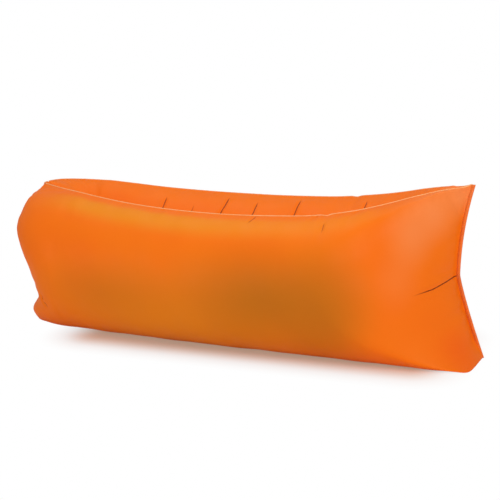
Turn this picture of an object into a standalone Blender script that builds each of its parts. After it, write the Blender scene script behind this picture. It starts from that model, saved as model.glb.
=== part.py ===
"""Inflatable air lounger, blown up and closed.

Two long air chambers of coated cloth lie side by side and are sewn together along the floor.
At the foot end all the layers meet in one upright seam. At the other end the open mouth is
rolled round two strips, the roll is bent to a ring, and a side release buckle closes the ring.

Metres, +Z up, +X towards the sewn foot end, -Y towards the near chamber. The origin lies on
the floor under the middle of the lounger.
"""

import math

import bmesh
import bpy
from mathutils import Vector

# Overall sizes of the blown up lounger
LENGTH = 1.800
END_SEAM_HEIGHT = 0.628
BELLY_REACH = 0.412
BELLY_HEIGHT = 0.255
RIM_HALF_GAP = 0.226
RIM_HEIGHT = 0.515
TROUGH_DEPTH = 0.25
HEEL_DEPTH = 0.05
FLOOR_REACH = 0.165
SHOULDER_LENGTH = 0.233

# Cloth, seams and clearances
CLOTH = 0.0012
GAP = 0.0003
SELVEDGE = 0.015
RIM_CORD_RADIUS = 0.0024
RIM_CORD_ROOM = 0.0014
SPINE_THICKNESS = 0.0012
SPINE_HEIGHT = 0.012
SPINE_END_ROOM = 0.03
FLOOR_GROOVE = 0.006
BINDING_WIDTH = 0.010
BINDING_WALL = 0.0012
BINDING_ROOM = 0.0012

# Sewn end: how far its waist and top corner stand in from the foot tip
WAIST_HEIGHT = 0.304
WAIST_INSET = 0.099
TOP_INSET = 0.058

# Mouth end: the rim tip, the floor ears and the oval recess that holds the rolled mouth
TIP_INSET = 0.019
TIP_HEIGHT = 0.557
TIP_SPREAD = 0.008
EAR_INSET = 0.018
EAR_LIFT = 0.003
RECESS_DEPTH = 0.103
RECESS_HEIGHT = 0.300
RECESS_HALF_WIDTH = 0.118
RECESS_HALF_HEIGHT = 0.168
GATHER_RISE = 0.010
GATHER_SINK = 0.030
GATHER_LAP = 0.007
GATHER_PLEAT = 0.004
GATHER_PLEATS = 12
INNER_SINK = 0.0348

# Rolled mouth, its strips and webbing
RING_RADIUS = 0.085
RING_STRAIGHT = 0.100
STRIP_WIDTH = 0.020
STRIP_THICKNESS = 0.0010
STRIP_SIDE_ROOM = 0.0022
STRIP_FACE_ROOM = 0.0004
ROLL_LAYER = 0.0020
ROLL_PITCH = 0.0026
ROLL_TURNS = 2
WEBBING_WIDTH = 0.025
WEBBING_THICKNESS = 0.0012

# Side release buckle, its flat faces towards the ends of the lounger
BUCKLE_WIDTH = 0.033
BUCKLE_THICKNESS = 0.0105
BUCKLE_WALL = 0.0017
BUCKLE_ROUNDING = 0.0011
SOCKET_LENGTH = 0.031
SOCKET_DEPTH = 0.024
SOCKET_WAIST = 0.0012
WINDOW_START = 0.0075
WINDOW_LENGTH = 0.0105
TAIL_LENGTH = 0.011
TAIL_THICKNESS = 0.006
BAR_WIDTH = 0.003
PLUG_SHOULDER = 0.006
RAIL_WIDTH = 0.0055
RAIL_LENGTH = 0.019
RUNNING_GAP = 0.0004
ARM_WIDTH = 0.0028
ARM_LENGTH = 0.0175
ARM_CATCH = 0.0026
ARM_SET_IN = 0.0006
SOCKET_TAB = 0.010

# Steps of the surfaces
TRUNK_STEPS = 18
SHOULDER_STEPS = 9
OUTER_STEPS = (2, 2, 5, 2, 4)
INNER_STEPS = (3, 3, 4)
RING_STEPS = 6
ROLL_TURN_STEPS = 12
WEBBING_STEPS = 8
EDGE_TRIES = 14
CORD_SIDES = 8
GATHER_STEPS = 4
STATION_POWER = 1.5
STEEPEST = 3
EDGE_PROBE = 0.01
SHARP_DEGREES = 40
ROUND_DEGREES = 50

# Shares of the length from the foot tip, each with its share of the size it follows
RIM_GAP_SHARES = ((0.0, 0.0), (0.037, 0.035), (0.081, 0.15), (0.136, 0.37), (0.192, 0.60),
                  (0.247, 0.80), (0.302, 0.915), (0.385, 0.965), (0.523, 1.0), (0.634, 0.955),
                  (0.744, 0.85), (0.827, 0.735), (0.871, 0.65))
RIM_HEIGHT_SHARES = ((0.0, 1.222), (0.081, 1.205), (0.136, 1.165), (0.192, 1.113),
                     (0.247, 1.070), (0.330, 1.027), (0.413, 1.009), (0.523, 0.999),
                     (0.634, 1.004), (0.744, 1.023), (0.827, 1.050), (0.871, 1.066))
BELLY_REACH_SHARES = ((0.0, 0.73), (0.136, 0.88), (0.247, 0.95), (0.413, 0.99), (0.523, 1.0),
                      (0.70, 0.975), (0.871, 0.90))
BELLY_HEIGHT_SHARES = ((0.0, 1.18), (0.247, 1.06), (0.523, 1.0), (0.871, 1.10))
FLOOR_REACH_SHARES = ((0.0, 1.20), (0.08, 1.14), (0.15, 1.09), (0.30, 1.04), (0.50, 0.93),
                      (0.70, 0.76), (0.871, 0.64))

# Shares across the outer panel, from the spine seam at 0 to the rim at 1
OPENING_SHARES = ((0.0, 0.010), (0.10, 0.014), (0.15, 0.020), (0.20, 0.038), (0.25, 0.070),
                  (0.32, 0.13), (0.45, 0.22), (0.58, 0.25), (0.75, 0.22), (0.90, 0.14),
                  (1.0, 0.03))
SHOULDER_REACH_SHARES = ((0.0, 0.962), (0.10, 0.966), (0.15, 0.970), (0.215, 0.976), (0.28, 0.958),
                         (0.348, 0.885), (0.42, 0.898), (0.56, 0.953), (0.68, 0.998),
                         (0.76, 1.0), (0.90, 0.988), (1.0, 0.979))
SHOULDER_ROUND_SHARES = ((0.0, 1.6), (0.15, 2.4), (0.28, 2.2), (0.50, 2.0), (0.85, 1.9), (1.0, 1.1))
SHOULDER_PLACE_SHARES = ((0.0, 0.46), (0.15, 0.84), (0.28, 0.68), (0.348, 0.58), (0.45, 0.46),
                         (0.80, 0.46), (1.0, 0.20))
FLOOR_SHARE = 0.15
WAIST_SHARE = 0.62
BELLY_SHARE = 0.52
OUTER_POWER = 2.25
RIM_POWER = 2.0
TROUGH_SHARE = 0.5
GROOVE_SHARE = 0.33
MOUTH_LOW_SHARE = 0.28
MOUTH_HIGH_SHARE = 0.76
WAIST_POWER = 1.15
TROUGH_POWER = 0.6
BOW_POWER = 5
EAR_POWER = 2
OPENING_POWER = 0.75
ROLL_POWER = 0.5
ROLL_BACK_SHARE = 0.625
GATHER_RING_SHARE = 0.76
GATHER_FLANGE_SHARE = 0.90
GATHER_SLOPE_SHARE = 0.532
GATHER_HEART_SHARE = 0.304
GATHER_KNOT_SHARE = 0.114
SLOPE_PLEAT_SHARE = 0.6
KNOT_PLEAT_SHARE = 0.2

# Places that follow from the sizes
FOOT_X = LENGTH / 2
MOUTH_X = -LENGTH / 2
TRUNK_X = MOUTH_X + SHOULDER_LENGTH
STACK = GAP / 2
OUTER_BASE = STACK + CLOTH + GAP + CLOTH
STACK_Y = Vector((0, STACK, 0))
MOUTH_BASE_Y = Vector((0, OUTER_BASE + RIM_CORD_RADIUS, 0))
RIM_CORD_BASE = STACK + RIM_CORD_RADIUS
SPINE_ROOM = SPINE_THICKNESS / 2 + GAP
SPINE_TOP = GAP + SPINE_HEIGHT + GAP
RIM_ROOM = RIM_CORD_RADIUS + RIM_CORD_ROOM
SEAM_X = FOOT_X - BINDING_WALL - BINDING_ROOM
SEAM_TOP = END_SEAM_HEIGHT - RIM_CORD_RADIUS
OUTER_SEAM_SHARES = ((0.0, 0.0), (0.075, 0.006), (0.15, 0.020), (0.28, 0.130),
                     (WAIST_SHARE, WAIST_HEIGHT / SEAM_TOP), (0.80, 0.73), (1.0, 1.0))
INNER_WAIST = TROUGH_SHARE * (WAIST_HEIGHT - SPINE_TOP) / (SEAM_TOP - HEEL_DEPTH - SPINE_TOP)
OUTER_KNOTS = (0.0, FLOOR_SHARE, MOUTH_LOW_SHARE, WAIST_SHARE, MOUTH_HIGH_SHARE, 1.0)
INNER_KNOTS = (0.0, INNER_WAIST, TROUGH_SHARE, 1.0)
RECESS_X = MOUTH_X + RECESS_DEPTH
STRIP_STACK = STRIP_THICKNESS + GAP / 2
ROLL_BACK_TURNS = ROLL_TURNS * ROLL_BACK_SHARE
ROLL_BACK = STRIP_STACK + STRIP_FACE_ROOM + ROLL_BACK_TURNS * ROLL_PITCH + ROLL_LAYER
RING_X = RECESS_X - GATHER_RISE - GAP - ROLL_BACK
RING_END = RING_STRAIGHT / 2
SOCKET_BAR_Z = RECESS_HEIGHT - RING_END + SOCKET_TAB
SOCKET_FOOT_Z = SOCKET_BAR_Z + TAIL_LENGTH - BAR_WIDTH / 2
SOCKET_MOUTH_Z = SOCKET_FOOT_Z + SOCKET_LENGTH
PLUG_FACE_Z = SOCKET_MOUTH_Z + GAP
PLUG_BAR_Z = PLUG_FACE_Z + PLUG_SHOULDER + TAIL_LENGTH - BAR_WIDTH / 2
SLOT_WIDTH = WEBBING_WIDTH + 2 * GAP
PRONG_THICKNESS = BUCKLE_THICKNESS - 2 * BUCKLE_WALL - 2 * RUNNING_GAP

CLOTH_COLOUR = (0.93, 0.19, 0.012, 1.0)
THREAD_COLOUR = (0.95, 0.34, 0.06, 1.0)
WEBBING_COLOUR = (0.02, 0.02, 0.022, 1.0)
PLASTIC_COLOUR = (0.012, 0.012, 0.013, 1.0)
STRIP_COLOUR = (0.7, 0.7, 0.68, 1.0)
CLOTH_ROUGHNESS = 0.45
THREAD_ROUGHNESS = 0.6
WEBBING_ROUGHNESS = 0.8
PLASTIC_ROUGHNESS = 0.35
STRIP_ROUGHNESS = 0.4


def material(name, colour, roughness):
    """A plain Principled material."""
    made = bpy.data.materials.new(name)
    made.use_nodes = True
    shader = made.node_tree.nodes["Principled BSDF"]
    shader.inputs["Base Color"].default_value = colour
    shader.inputs["Roughness"].default_value = roughness
    shader.inputs["Metallic"].default_value = 0.0
    return made


def add_object(name, bm, finish, smooth=False):
    """Turn a bmesh into a named object with its material."""
    mesh = bpy.data.meshes.new(name)
    bm.to_mesh(mesh)
    bm.free()
    made = bpy.data.objects.new(name, mesh)
    bpy.context.scene.collection.objects.link(made)
    mesh.materials.append(finish)
    if smooth:
        mesh.shade_smooth()
        mesh.set_sharp_from_angle(angle=math.radians(SHARP_DEGREES))
    return made


def curve_through(table, place):
    """The value at a place on a smooth curve through a table of shares."""
    last = len(table) - 1
    if place <= table[0][0]:
        return table[0][1]
    if place >= table[last][0]:
        return table[last][1]
    left = max(row for row in range(last) if table[row][0] <= place)

    def secant(row):
        return (table[row + 1][1] - table[row][1]) / (table[row + 1][0] - table[row][0])

    def slope(row):
        before, after = secant(max(row - 1, 0)), secant(min(row, last - 1))
        if before * after <= 0:
            return 0.0
        steepest = min(abs(before + after) / 2, STEEPEST * abs(before), STEEPEST * abs(after))
        return math.copysign(steepest, before)

    width = table[left + 1][0] - table[left][0]
    t = (place - table[left][0]) / width
    rise, fall = slope(left) * width, slope(left + 1) * width
    return ((2 * t**3 - 3 * t**2 + 1) * table[left][1] + (t**3 - 2 * t**2 + t) * rise
            + (3 * t**2 - 2 * t**3) * table[left + 1][1] + (t**3 - t**2) * fall)


def round_share(turn, power):
    """Sine and cosine of a quarter turn, squared off by a power."""
    angle = turn * math.pi / 2
    return math.sin(angle) ** (2 / power), max(0.0, math.cos(angle)) ** (2 / power)


def seam_x(height):
    """The end seam's distance along X at a height: a fishtail with a waist."""
    if height < WAIST_HEIGHT:
        return SEAM_X - WAIST_INSET * (1 - (1 - height / WAIST_HEIGHT) ** WAIST_POWER)
    rise = (height - WAIST_HEIGHT) / (END_SEAM_HEIGHT - WAIST_HEIGHT)
    return SEAM_X - WAIST_INSET + (WAIST_INSET - TOP_INSET) * rise**2


def rim(share):
    """Half gap and height of the rim at a share of the length."""
    return (RIM_HALF_GAP * curve_through(RIM_GAP_SHARES, share),
            RIM_HEIGHT * curve_through(RIM_HEIGHT_SHARES, share))


def outer_section(share, across):
    """The outer panel's section: floor, belly, then up and over to the rim."""
    rim_y, rim_z = rim(share)
    belly_y = BELLY_REACH * curve_through(BELLY_REACH_SHARES, share)
    belly_z = BELLY_HEIGHT * curve_through(BELLY_HEIGHT_SHARES, share)
    floor_y = FLOOR_REACH * curve_through(FLOOR_REACH_SHARES, share)
    if across <= FLOOR_SHARE:
        part = across / FLOOR_SHARE
        lift = FLOOR_GROOVE * max(0.0, 1 - part / GROOVE_SHARE) ** 2
        return SPINE_ROOM + (floor_y - SPINE_ROOM) * part, lift
    if across <= BELLY_SHARE:
        up, over = round_share((across - FLOOR_SHARE) / (BELLY_SHARE - FLOOR_SHARE), OUTER_POWER)
        return floor_y + (belly_y - floor_y) * up, belly_z * (1 - over)
    up, over = round_share((across - BELLY_SHARE) / (1 - BELLY_SHARE), RIM_POWER)
    return rim_y + (belly_y - rim_y) * over, belly_z + (rim_z - belly_z) * up


def inner_section(share, across):
    """The inner panel's section: up the middle, then out to the rim."""
    rim_y, rim_z = rim(share)
    deeper = (TROUGH_DEPTH - HEEL_DEPTH) * min(1.0, rim_y / RIM_HALF_GAP) ** TROUGH_POWER
    trough_z = rim_z - HEEL_DEPTH - deeper
    if across <= TROUGH_SHARE:
        return 0.0, SPINE_TOP + (trough_z - SPINE_TOP) * across / TROUGH_SHARE
    up, over = round_share((across - TROUGH_SHARE) / (1 - TROUGH_SHARE), RIM_POWER)
    return rim_y * (1 - over), trough_z + (rim_z - trough_z) * up


def opening(distance, across):
    """How far the section has opened at a distance from the end seam, from 0 to 1."""
    reach = LENGTH * curve_through(OPENING_SHARES, across)
    part = min(1.0, max(0.0, (distance - SELVEDGE) / reach))
    return (1 - (1 - part) ** 2) ** OPENING_POWER


def outer_seam_height(across):
    """How high a place across the outer panel lies in the end seam."""
    return SEAM_TOP * curve_through(OUTER_SEAM_SHARES, across)


def inner_seam_height(across):
    """How high a place across the inner panel lies in the end seam."""
    heel_z = SEAM_TOP - HEEL_DEPTH
    if across <= TROUGH_SHARE:
        return SPINE_TOP + (heel_z - SPINE_TOP) * across / TROUGH_SHARE
    return heel_z + HEEL_DEPTH * round_share((across - TROUGH_SHARE) / (1 - TROUGH_SHARE), RIM_POWER)[0]


def trunk_point(section, seam_height, base, along, across):
    """A point of a panel between the end seam and the shoulder, on the side of +Y."""
    seam_z = seam_height(across)
    start = seam_x(seam_z)
    x = start + (TRUNK_X - start) * along
    opened = opening(start - x, across)
    y, z = section((FOOT_X - x) / LENGTH, across)
    return Vector((x, base * (1 - opened) + y * opened, seam_z * (1 - opened) + z * opened))


def mouth_line(across):
    """The edge of the outer panel at the mouth: ear, recess, then up to the rim tip."""
    low = Vector((RECESS_X, 0, RECESS_HEIGHT - RECESS_HALF_HEIGHT))
    high = Vector((RECESS_X, 0, RECESS_HEIGHT + RECESS_HALF_HEIGHT))
    ear = Vector((MOUTH_X + EAR_INSET, 0, EAR_LIFT))
    tip = Vector((MOUTH_X + TIP_INSET, 0, TIP_HEIGHT))
    if across < MOUTH_LOW_SHARE:
        return ear.lerp(low, (across / MOUTH_LOW_SHARE) ** EAR_POWER)
    if across > MOUTH_HIGH_SHARE:
        return high.lerp(tip, (across - MOUTH_HIGH_SHARE) / (1 - MOUTH_HIGH_SHARE))
    angle = math.pi * (across - MOUTH_LOW_SHARE) / (MOUTH_HIGH_SHARE - MOUTH_LOW_SHARE)
    return Vector((RECESS_X, RECESS_HALF_WIDTH * math.sin(angle),
                   RECESS_HEIGHT - RECESS_HALF_HEIGHT * math.cos(angle)))


def inner_mouth_line(across):
    """The edge of the inner panel at the mouth, inside the recess."""
    inside = Vector((INNER_SINK, 0, 0))
    low = Vector((RECESS_X, 0, RECESS_HEIGHT - RECESS_HALF_HEIGHT)) + inside
    high = Vector((RECESS_X, 0, RECESS_HEIGHT + RECESS_HALF_HEIGHT)) + inside
    ear = Vector((MOUTH_X + EAR_INSET, 0, SPINE_TOP)) + inside
    tip = mouth_line(1.0) + Vector((TIP_SPREAD, 0, 0))
    if across < MOUTH_LOW_SHARE:
        return ear.lerp(low, across / MOUTH_LOW_SHARE)
    if across > MOUTH_HIGH_SHARE:
        part = (across - MOUTH_HIGH_SHARE) / (1 - MOUTH_HIGH_SHARE)
        return high.lerp(tip, part)
    return low.lerp(high, (across - MOUTH_LOW_SHARE) / (MOUTH_HIGH_SHARE - MOUTH_LOW_SHARE))


def shoulder_point(start, reach, end, across, turn):
    """A point on two quarter rounds: back to the shoulder's reach, then in to the mouth."""
    place = end.lerp(start, curve_through(SHOULDER_PLACE_SHARES, across))
    power = curve_through(SHOULDER_ROUND_SHARES, across)
    if turn <= 0.5:
        back, side = round_share(turn * 2, power)
        bent = Vector((start.x + (reach - start.x) * back,
                       place.y + (start.y - place.y) * side,
                       place.z + (start.z - place.z) * side))
    else:
        inward, depth = round_share(turn * 2 - 1, power)
        bent = Vector((end.x + (reach - end.x) * depth,
                       place.y + (end.y - place.y) * inward,
                       place.z + (end.z - place.z) * inward))
    return start.lerp(end, turn).lerp(bent, min(1.0, across / FLOOR_SHARE))


def outer_point(along, across):
    """The outer panel's surface: 0 to 1 is the trunk, 1 to 2 the shoulder."""
    if along <= 1:
        return trunk_point(outer_section, outer_seam_height, OUTER_BASE, along, across)
    start = trunk_point(outer_section, outer_seam_height, OUTER_BASE, 1.0, across)
    end = mouth_line(across) + MOUTH_BASE_Y
    reach = MOUTH_X * curve_through(SHOULDER_REACH_SHARES, across)
    return shoulder_point(start, reach, end, across, along - 1)


def inner_point(along, across):
    """The inner panel's surface, which faces the other chamber and the trough."""
    if along <= 1:
        return trunk_point(inner_section, inner_seam_height, 0.0, along, across) + STACK_Y
    turn = along - 1
    start = trunk_point(inner_section, inner_seam_height, 0.0, 1.0, across)
    rim_start = outer_point(1.0, 1.0)
    line = rim_start.lerp(mouth_line(1.0), turn)
    bow = (outer_point(along, 1.0) - MOUTH_BASE_Y * turn - line) * across**BOW_POWER
    point = start.lerp(inner_mouth_line(across), turn) + bow
    return Vector((point.x, max(0.0, point.y), point.z)) + STACK_Y


def rim_point(along):
    """The rim's line, midway between the two panels' upper edges."""
    outer, inner = outer_point(along, 1.0), inner_point(along, 1.0)
    point = (outer + inner) / 2
    point.y = max(point.y, RIM_CORD_BASE)
    return point


def stations():
    """Places along a panel, closer together towards the end seam."""
    hem = SELVEDGE / (FOOT_X - TRUNK_X)
    trunk = [hem + (1 - hem) * (step / TRUNK_STEPS) ** STATION_POWER for step in range(TRUNK_STEPS + 1)]
    shoulder = [1 + step / SHOULDER_STEPS for step in range(1, SHOULDER_STEPS + 1)]
    return [0.0] + trunk + shoulder


def upper_edge(surface, along):
    """Where a panel stops across, so that it just clears the rim's cord."""
    low, high = BELLY_SHARE, 1.0
    ahead, behind = min(2.0, along + EDGE_PROBE), max(0.0, along - EDGE_PROBE)
    run = (rim_point(ahead) - rim_point(behind)).normalized()
    for _ in range(EDGE_TRIES):
        middle = (low + high) / 2
        away = surface(along, middle) - rim_point(along)
        if (away - run * away.dot(run)).length > RIM_ROOM:
            low = middle
        else:
            high = middle
    return low


def places_across(knots, steps):
    """Places from the first knot to the last, with a number of steps between each two."""
    places = [knots[0]]
    for low, high, count in zip(knots, knots[1:], steps):
        places += [low + (high - low) * step / count for step in range(1, count + 1)]
    return places


def panel(name, surface, side, knots, steps, finish):
    """A cloth panel: a grid bent to its surface, then given the cloth's thickness."""
    columns, rows = stations(), places_across(knots, steps)
    last, fixed = knots[-1], knots[-2]
    bm = bmesh.new()
    bmesh.ops.create_grid(bm, x_segments=len(columns) - 1, y_segments=len(rows) - 1, size=0.5)
    edges = [upper_edge(surface, along) for along in columns]
    for vert in bm.verts:
        column = round((vert.co.x + 0.5) * (len(columns) - 1))
        across = rows[round((vert.co.y + 0.5) * (len(rows) - 1))]
        if across > fixed:
            across = fixed + (across - fixed) * (edges[column] - fixed) / (last - fixed)
        point = surface(columns[column], across)
        vert.co = (point.x, side * point.y, point.z)
    outward = surface is outer_point
    if (side > 0) != outward:
        bmesh.ops.reverse_faces(bm, faces=bm.faces)
    made = add_object(name, bm, finish, smooth=True)
    wall = made.modifiers.new("wall", "SOLIDIFY")
    wall.thickness = CLOTH
    wall.offset = -1
    return made


def sweep(name, outline, frames, finish, smooth=True):
    """A strip's outline, out along one face and back along the other, through frames."""
    bm = bmesh.new()
    rings = []
    for origin, across, up in frames:
        rings.append([bm.verts.new(origin + across * a + up * b) for a, b in outline])
    count = len(outline)
    for first, second in zip(rings, rings[1:]):
        for index in range(count):
            after = (index + 1) % count
            bm.faces.new((first[index], first[after], second[after], second[index]))
    for ring in (rings[0], rings[-1]):
        for index in range(count // 2 - 1):
            bm.faces.new((ring[index], ring[index + 1], ring[-2 - index], ring[-1 - index]))
    bmesh.ops.recalc_face_normals(bm, faces=bm.faces)
    return add_object(name, bm, finish, smooth)


def cord_frames(points):
    """A frame at each point of a cord: sideways, then up, both across its run."""
    frames = []
    for index, point in enumerate(points):
        run = points[min(index + 1, len(points) - 1)] - points[max(index - 1, 0)]
        sideways = run.cross(Vector((0, 0, 1))).normalized()
        frames.append((point, sideways, sideways.cross(run).normalized()))
    return frames


def rim_seam(name, side, finish):
    """The corded seam along one rim, where the outer and inner panels meet."""
    points = [rim_point(along) for along in stations()]
    points = [Vector((point.x, side * point.y, point.z)) for point in points]
    angles = [2 * math.pi * (index + 0.5) / CORD_SIDES for index in range(CORD_SIDES)]
    outline = [(RIM_CORD_RADIUS * math.cos(angle), RIM_CORD_RADIUS * math.sin(angle))
               for angle in angles]
    return sweep(name, outline, cord_frames(points), finish)


def straight_frame(x, z):
    """A frame across the lounger: out along X, then along Y."""
    return Vector((x, 0, z)), Vector((1, 0, 0)), Vector((0, 1, 0))


def end_binding(finish):
    """A folded tape over the raw edges of all the layers at the sewn end."""
    room = OUTER_BASE + GAP
    outside, back = room + BINDING_WALL, BINDING_ROOM + BINDING_WALL
    outline = ((-BINDING_WIDTH, -outside), (back, -outside), (back, outside),
               (-BINDING_WIDTH, outside), (-BINDING_WIDTH, room), (BINDING_ROOM, room),
               (BINDING_ROOM, -room), (-BINDING_WIDTH, -room))
    top = SEAM_TOP - RIM_ROOM
    rows = [inner_seam_height(across) for across in places_across(INNER_KNOTS, INNER_STEPS)]
    heights = [0.0] + [height for height in rows if height < top] + [top]
    frames = [straight_frame(seam_x(height), height) for height in heights]
    return sweep("sewn_end_binding", outline, frames, finish)


def spine_seam(finish):
    """The sewn fin between the two chambers, along the floor."""
    half = SPINE_THICKNESS / 2
    outline = ((-half, GAP), (half, GAP), (half, GAP + SPINE_HEIGHT), (-half, GAP + SPINE_HEIGHT))
    ends = (MOUTH_X + EAR_INSET + SPINE_END_ROOM, FOOT_X - SPINE_END_ROOM)
    frames = [(Vector((x, 0, 0)), Vector((0, 1, 0)), Vector((0, 0, 1))) for x in ends]
    return sweep("spine_seam", outline, frames, finish, smooth=False)


def mouth_gather(finish):
    """The pleated cloth that closes the recess behind the rolled mouth."""
    count = GATHER_PLEATS * GATHER_STEPS
    half_width, half_height = RECESS_HALF_WIDTH + GATHER_LAP, RECESS_HALF_HEIGHT + GATHER_LAP
    flat, ridge, deep = RECESS_X + CLOTH + GAP, RECESS_X - GATHER_RISE, RECESS_X + GATHER_SINK
    middle = (GATHER_RING_SHARE + GATHER_FLANGE_SHARE) / 2
    rings = ((1, flat, 0), (GATHER_FLANGE_SHARE, flat, 0),
             (middle, (flat + ridge) / 2, SLOPE_PLEAT_SHARE), (GATHER_RING_SHARE, ridge, 0),
             (GATHER_SLOPE_SHARE, (ridge + deep) / 2, 1), (GATHER_HEART_SHARE, deep, 1),
             (GATHER_KNOT_SHARE, deep, KNOT_PLEAT_SHARE))
    bm = bmesh.new()
    loops = []
    for share, x, pleat in rings:
        loop = []
        for index in range(count):
            angle = 2 * math.pi * index / count
            fold = pleat * GATHER_PLEAT * (1 - math.cos(GATHER_PLEATS * angle)) / 2
            loop.append(bm.verts.new((x + fold, share * half_width * math.cos(angle),
                                      RECESS_HEIGHT + share * half_height * math.sin(angle))))
        loops.append(loop)
    for outer, inner in zip(loops, loops[1:]):
        for index in range(count):
            after = (index + 1) % count
            bm.faces.new((outer[index], inner[index], inner[after], outer[after]))
    bm.faces.new(loops[-1])
    bmesh.ops.recalc_face_normals(bm, faces=bm.faces)
    bm.faces.ensure_lookup_table()
    if bm.faces[-1].normal.x > 0:
        bmesh.ops.reverse_faces(bm, faces=bm.faces)
    made = add_object("mouth_gather", bm, finish, smooth=True)
    wall = made.modifiers.new("wall", "SOLIDIFY")
    wall.thickness = CLOTH
    wall.offset = -1
    return made


def ring_frames():
    """Frames round the ring from the far side's upper end, over the top, to its lower end."""
    frames = []
    for middle, start in ((RING_END, 0.0), (-RING_END, math.pi)):
        for step in range(RING_STEPS + 1):
            angle = start + math.pi * step / RING_STEPS
            out = Vector((0, math.cos(angle), math.sin(angle)))
            centre = Vector((RING_X, 0, RECESS_HEIGHT + middle))
            frames.append((centre + out * RING_RADIUS, out, Vector((1, 0, 0))))
    return frames


def rolled_mouth(finish):
    """The mouth's cloth, rolled round the strips and bent to a ring."""
    width, depth = STRIP_WIDTH / 2 + STRIP_SIDE_ROOM, STRIP_STACK + STRIP_FACE_ROOM
    inside, outside = [], []
    for step in range(ROLL_TURNS * ROLL_TURN_STEPS + 1):
        turns = step / ROLL_TURN_STEPS
        angle = 2 * math.pi * turns
        across, up = math.cos(angle), math.sin(angle)
        across = math.copysign(abs(across) ** ROLL_POWER, across)
        up = math.copysign(abs(up) ** ROLL_POWER, up)
        grown = turns * ROLL_PITCH
        inside.append(((width + grown) * across, (depth + grown) * up))
        grown += ROLL_LAYER
        outside.append(((width + grown) * across, (depth + grown) * up))
    return sweep("rolled_mouth", inside + outside[::-1], ring_frames(), finish)


def mouth_strip(name, side, finish):
    """A stiff strip in the heart of the roll."""
    near, away = side * GAP / 2, side * (GAP / 2 + STRIP_THICKNESS)
    half = STRIP_WIDTH / 2
    outline = ((-half, near), (half, near), (half, away), (-half, away))
    return sweep(name, outline, ring_frames(), finish, smooth=False)


def webbing_tab(name, bar_z, end_z, finish):
    """A webbing loop round a buckle bar, its ends sewn to the end of the roll."""
    inner = BAR_WIDTH / 2 * math.sqrt(2) + GAP
    turn = math.copysign(1.0, bar_z - end_z)
    outline = []
    steps = [math.pi * step / WEBBING_STEPS for step in range(WEBBING_STEPS + 1)]
    for radius, angles in ((inner, steps), (inner + WEBBING_THICKNESS, steps[::-1])):
        arc = [(radius * math.cos(angle), bar_z + turn * radius * math.sin(angle))
               for angle in angles]
        outline += [(arc[0][0], end_z)] + arc + [(arc[-1][0], end_z)]
    half = WEBBING_WIDTH / 2
    frames = [(Vector((RING_X, RING_RADIUS + offset, 0)), Vector((1, 0, 0)), Vector((0, 0, 1)))
              for offset in (-half, half)]
    return sweep(name, outline, frames, finish)


def prism(outline, thickness):
    """A bmesh prism: an outline in Y and Z, centred on the buckle's plane."""
    bm = bmesh.new()
    low = [bm.verts.new((RING_X - thickness / 2, RING_RADIUS + y, z)) for y, z in outline]
    face = bm.faces.new(low)
    grown = bmesh.ops.extrude_face_region(bm, geom=[face])
    moved = [item for item in grown["geom"] if isinstance(item, bmesh.types.BMVert)]
    bmesh.ops.translate(bm, verts=moved, vec=(thickness, 0, 0))
    bmesh.ops.recalc_face_normals(bm, faces=bm.faces)
    return bm


def rounded(bm, radius):
    """Round the long edges of a prism, so that a hand feels no sharp corner."""
    edges = [edge for edge in bm.edges if edge.calc_face_angle(0.0) > math.radians(ROUND_DEGREES)]
    bmesh.ops.bevel(bm, geom=edges, offset=radius, segments=2, profile=0.5, affect="EDGES",
                    material=-1)
    return bm


def block(name, first, second, finish):
    """A plain block between two corners, kept as a cutter."""
    first, second = Vector(first), Vector(second)
    bm = bmesh.new()
    bmesh.ops.create_cube(bm, size=1.0)
    bmesh.ops.scale(bm, vec=[abs(size) for size in second - first], verts=bm.verts)
    bmesh.ops.translate(bm, vec=(first + second) / 2, verts=bm.verts)
    made = add_object(name, bm, finish)
    made.hide_render = True
    made.display_type = "WIRE"
    return made


def cut(piece, cutter):
    """Cut one shape out of a piece."""
    modifier = piece.modifiers.new("cut", "BOOLEAN")
    modifier.operation = "DIFFERENCE"
    modifier.solver = "EXACT"
    modifier.object = cutter


def buckle_place(x, y, z):
    """A point from the buckle's middle line, at a height."""
    return Vector((RING_X + x, RING_RADIUS + y, z))


def webbing_bar(label, piece, bar_z, body_z, finish):
    """Thin the tail beyond the body and cut its slot, which leaves the bar for the webbing."""
    over, half, slot = BUCKLE_WALL, BUCKLE_WIDTH / 2, SLOT_WIDTH / 2
    way = math.copysign(1.0, bar_z - body_z)
    end = bar_z + way * (BAR_WIDTH / 2 + over)
    for name, face in (("front", -1), ("back", 1)):
        cut(piece, block(f"cut_{label}_tail_{name}",
                         buckle_place(face * TAIL_THICKNESS / 2, -half - over, body_z),
                         buckle_place(face * BUCKLE_THICKNESS, half + over, end), finish))
        cut(piece, block(f"cut_{label}_bar_{name}",
                         buckle_place(face * BAR_WIDTH / 2, -slot, bar_z - way * BAR_WIDTH),
                         buckle_place(face * BUCKLE_THICKNESS, slot, end), finish))
    cut(piece, block(f"cut_{label}_slot",
                     buckle_place(-BUCKLE_THICKNESS, -slot, body_z),
                     buckle_place(BUCKLE_THICKNESS, slot, bar_z - way * BAR_WIDTH / 2), finish))


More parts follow.
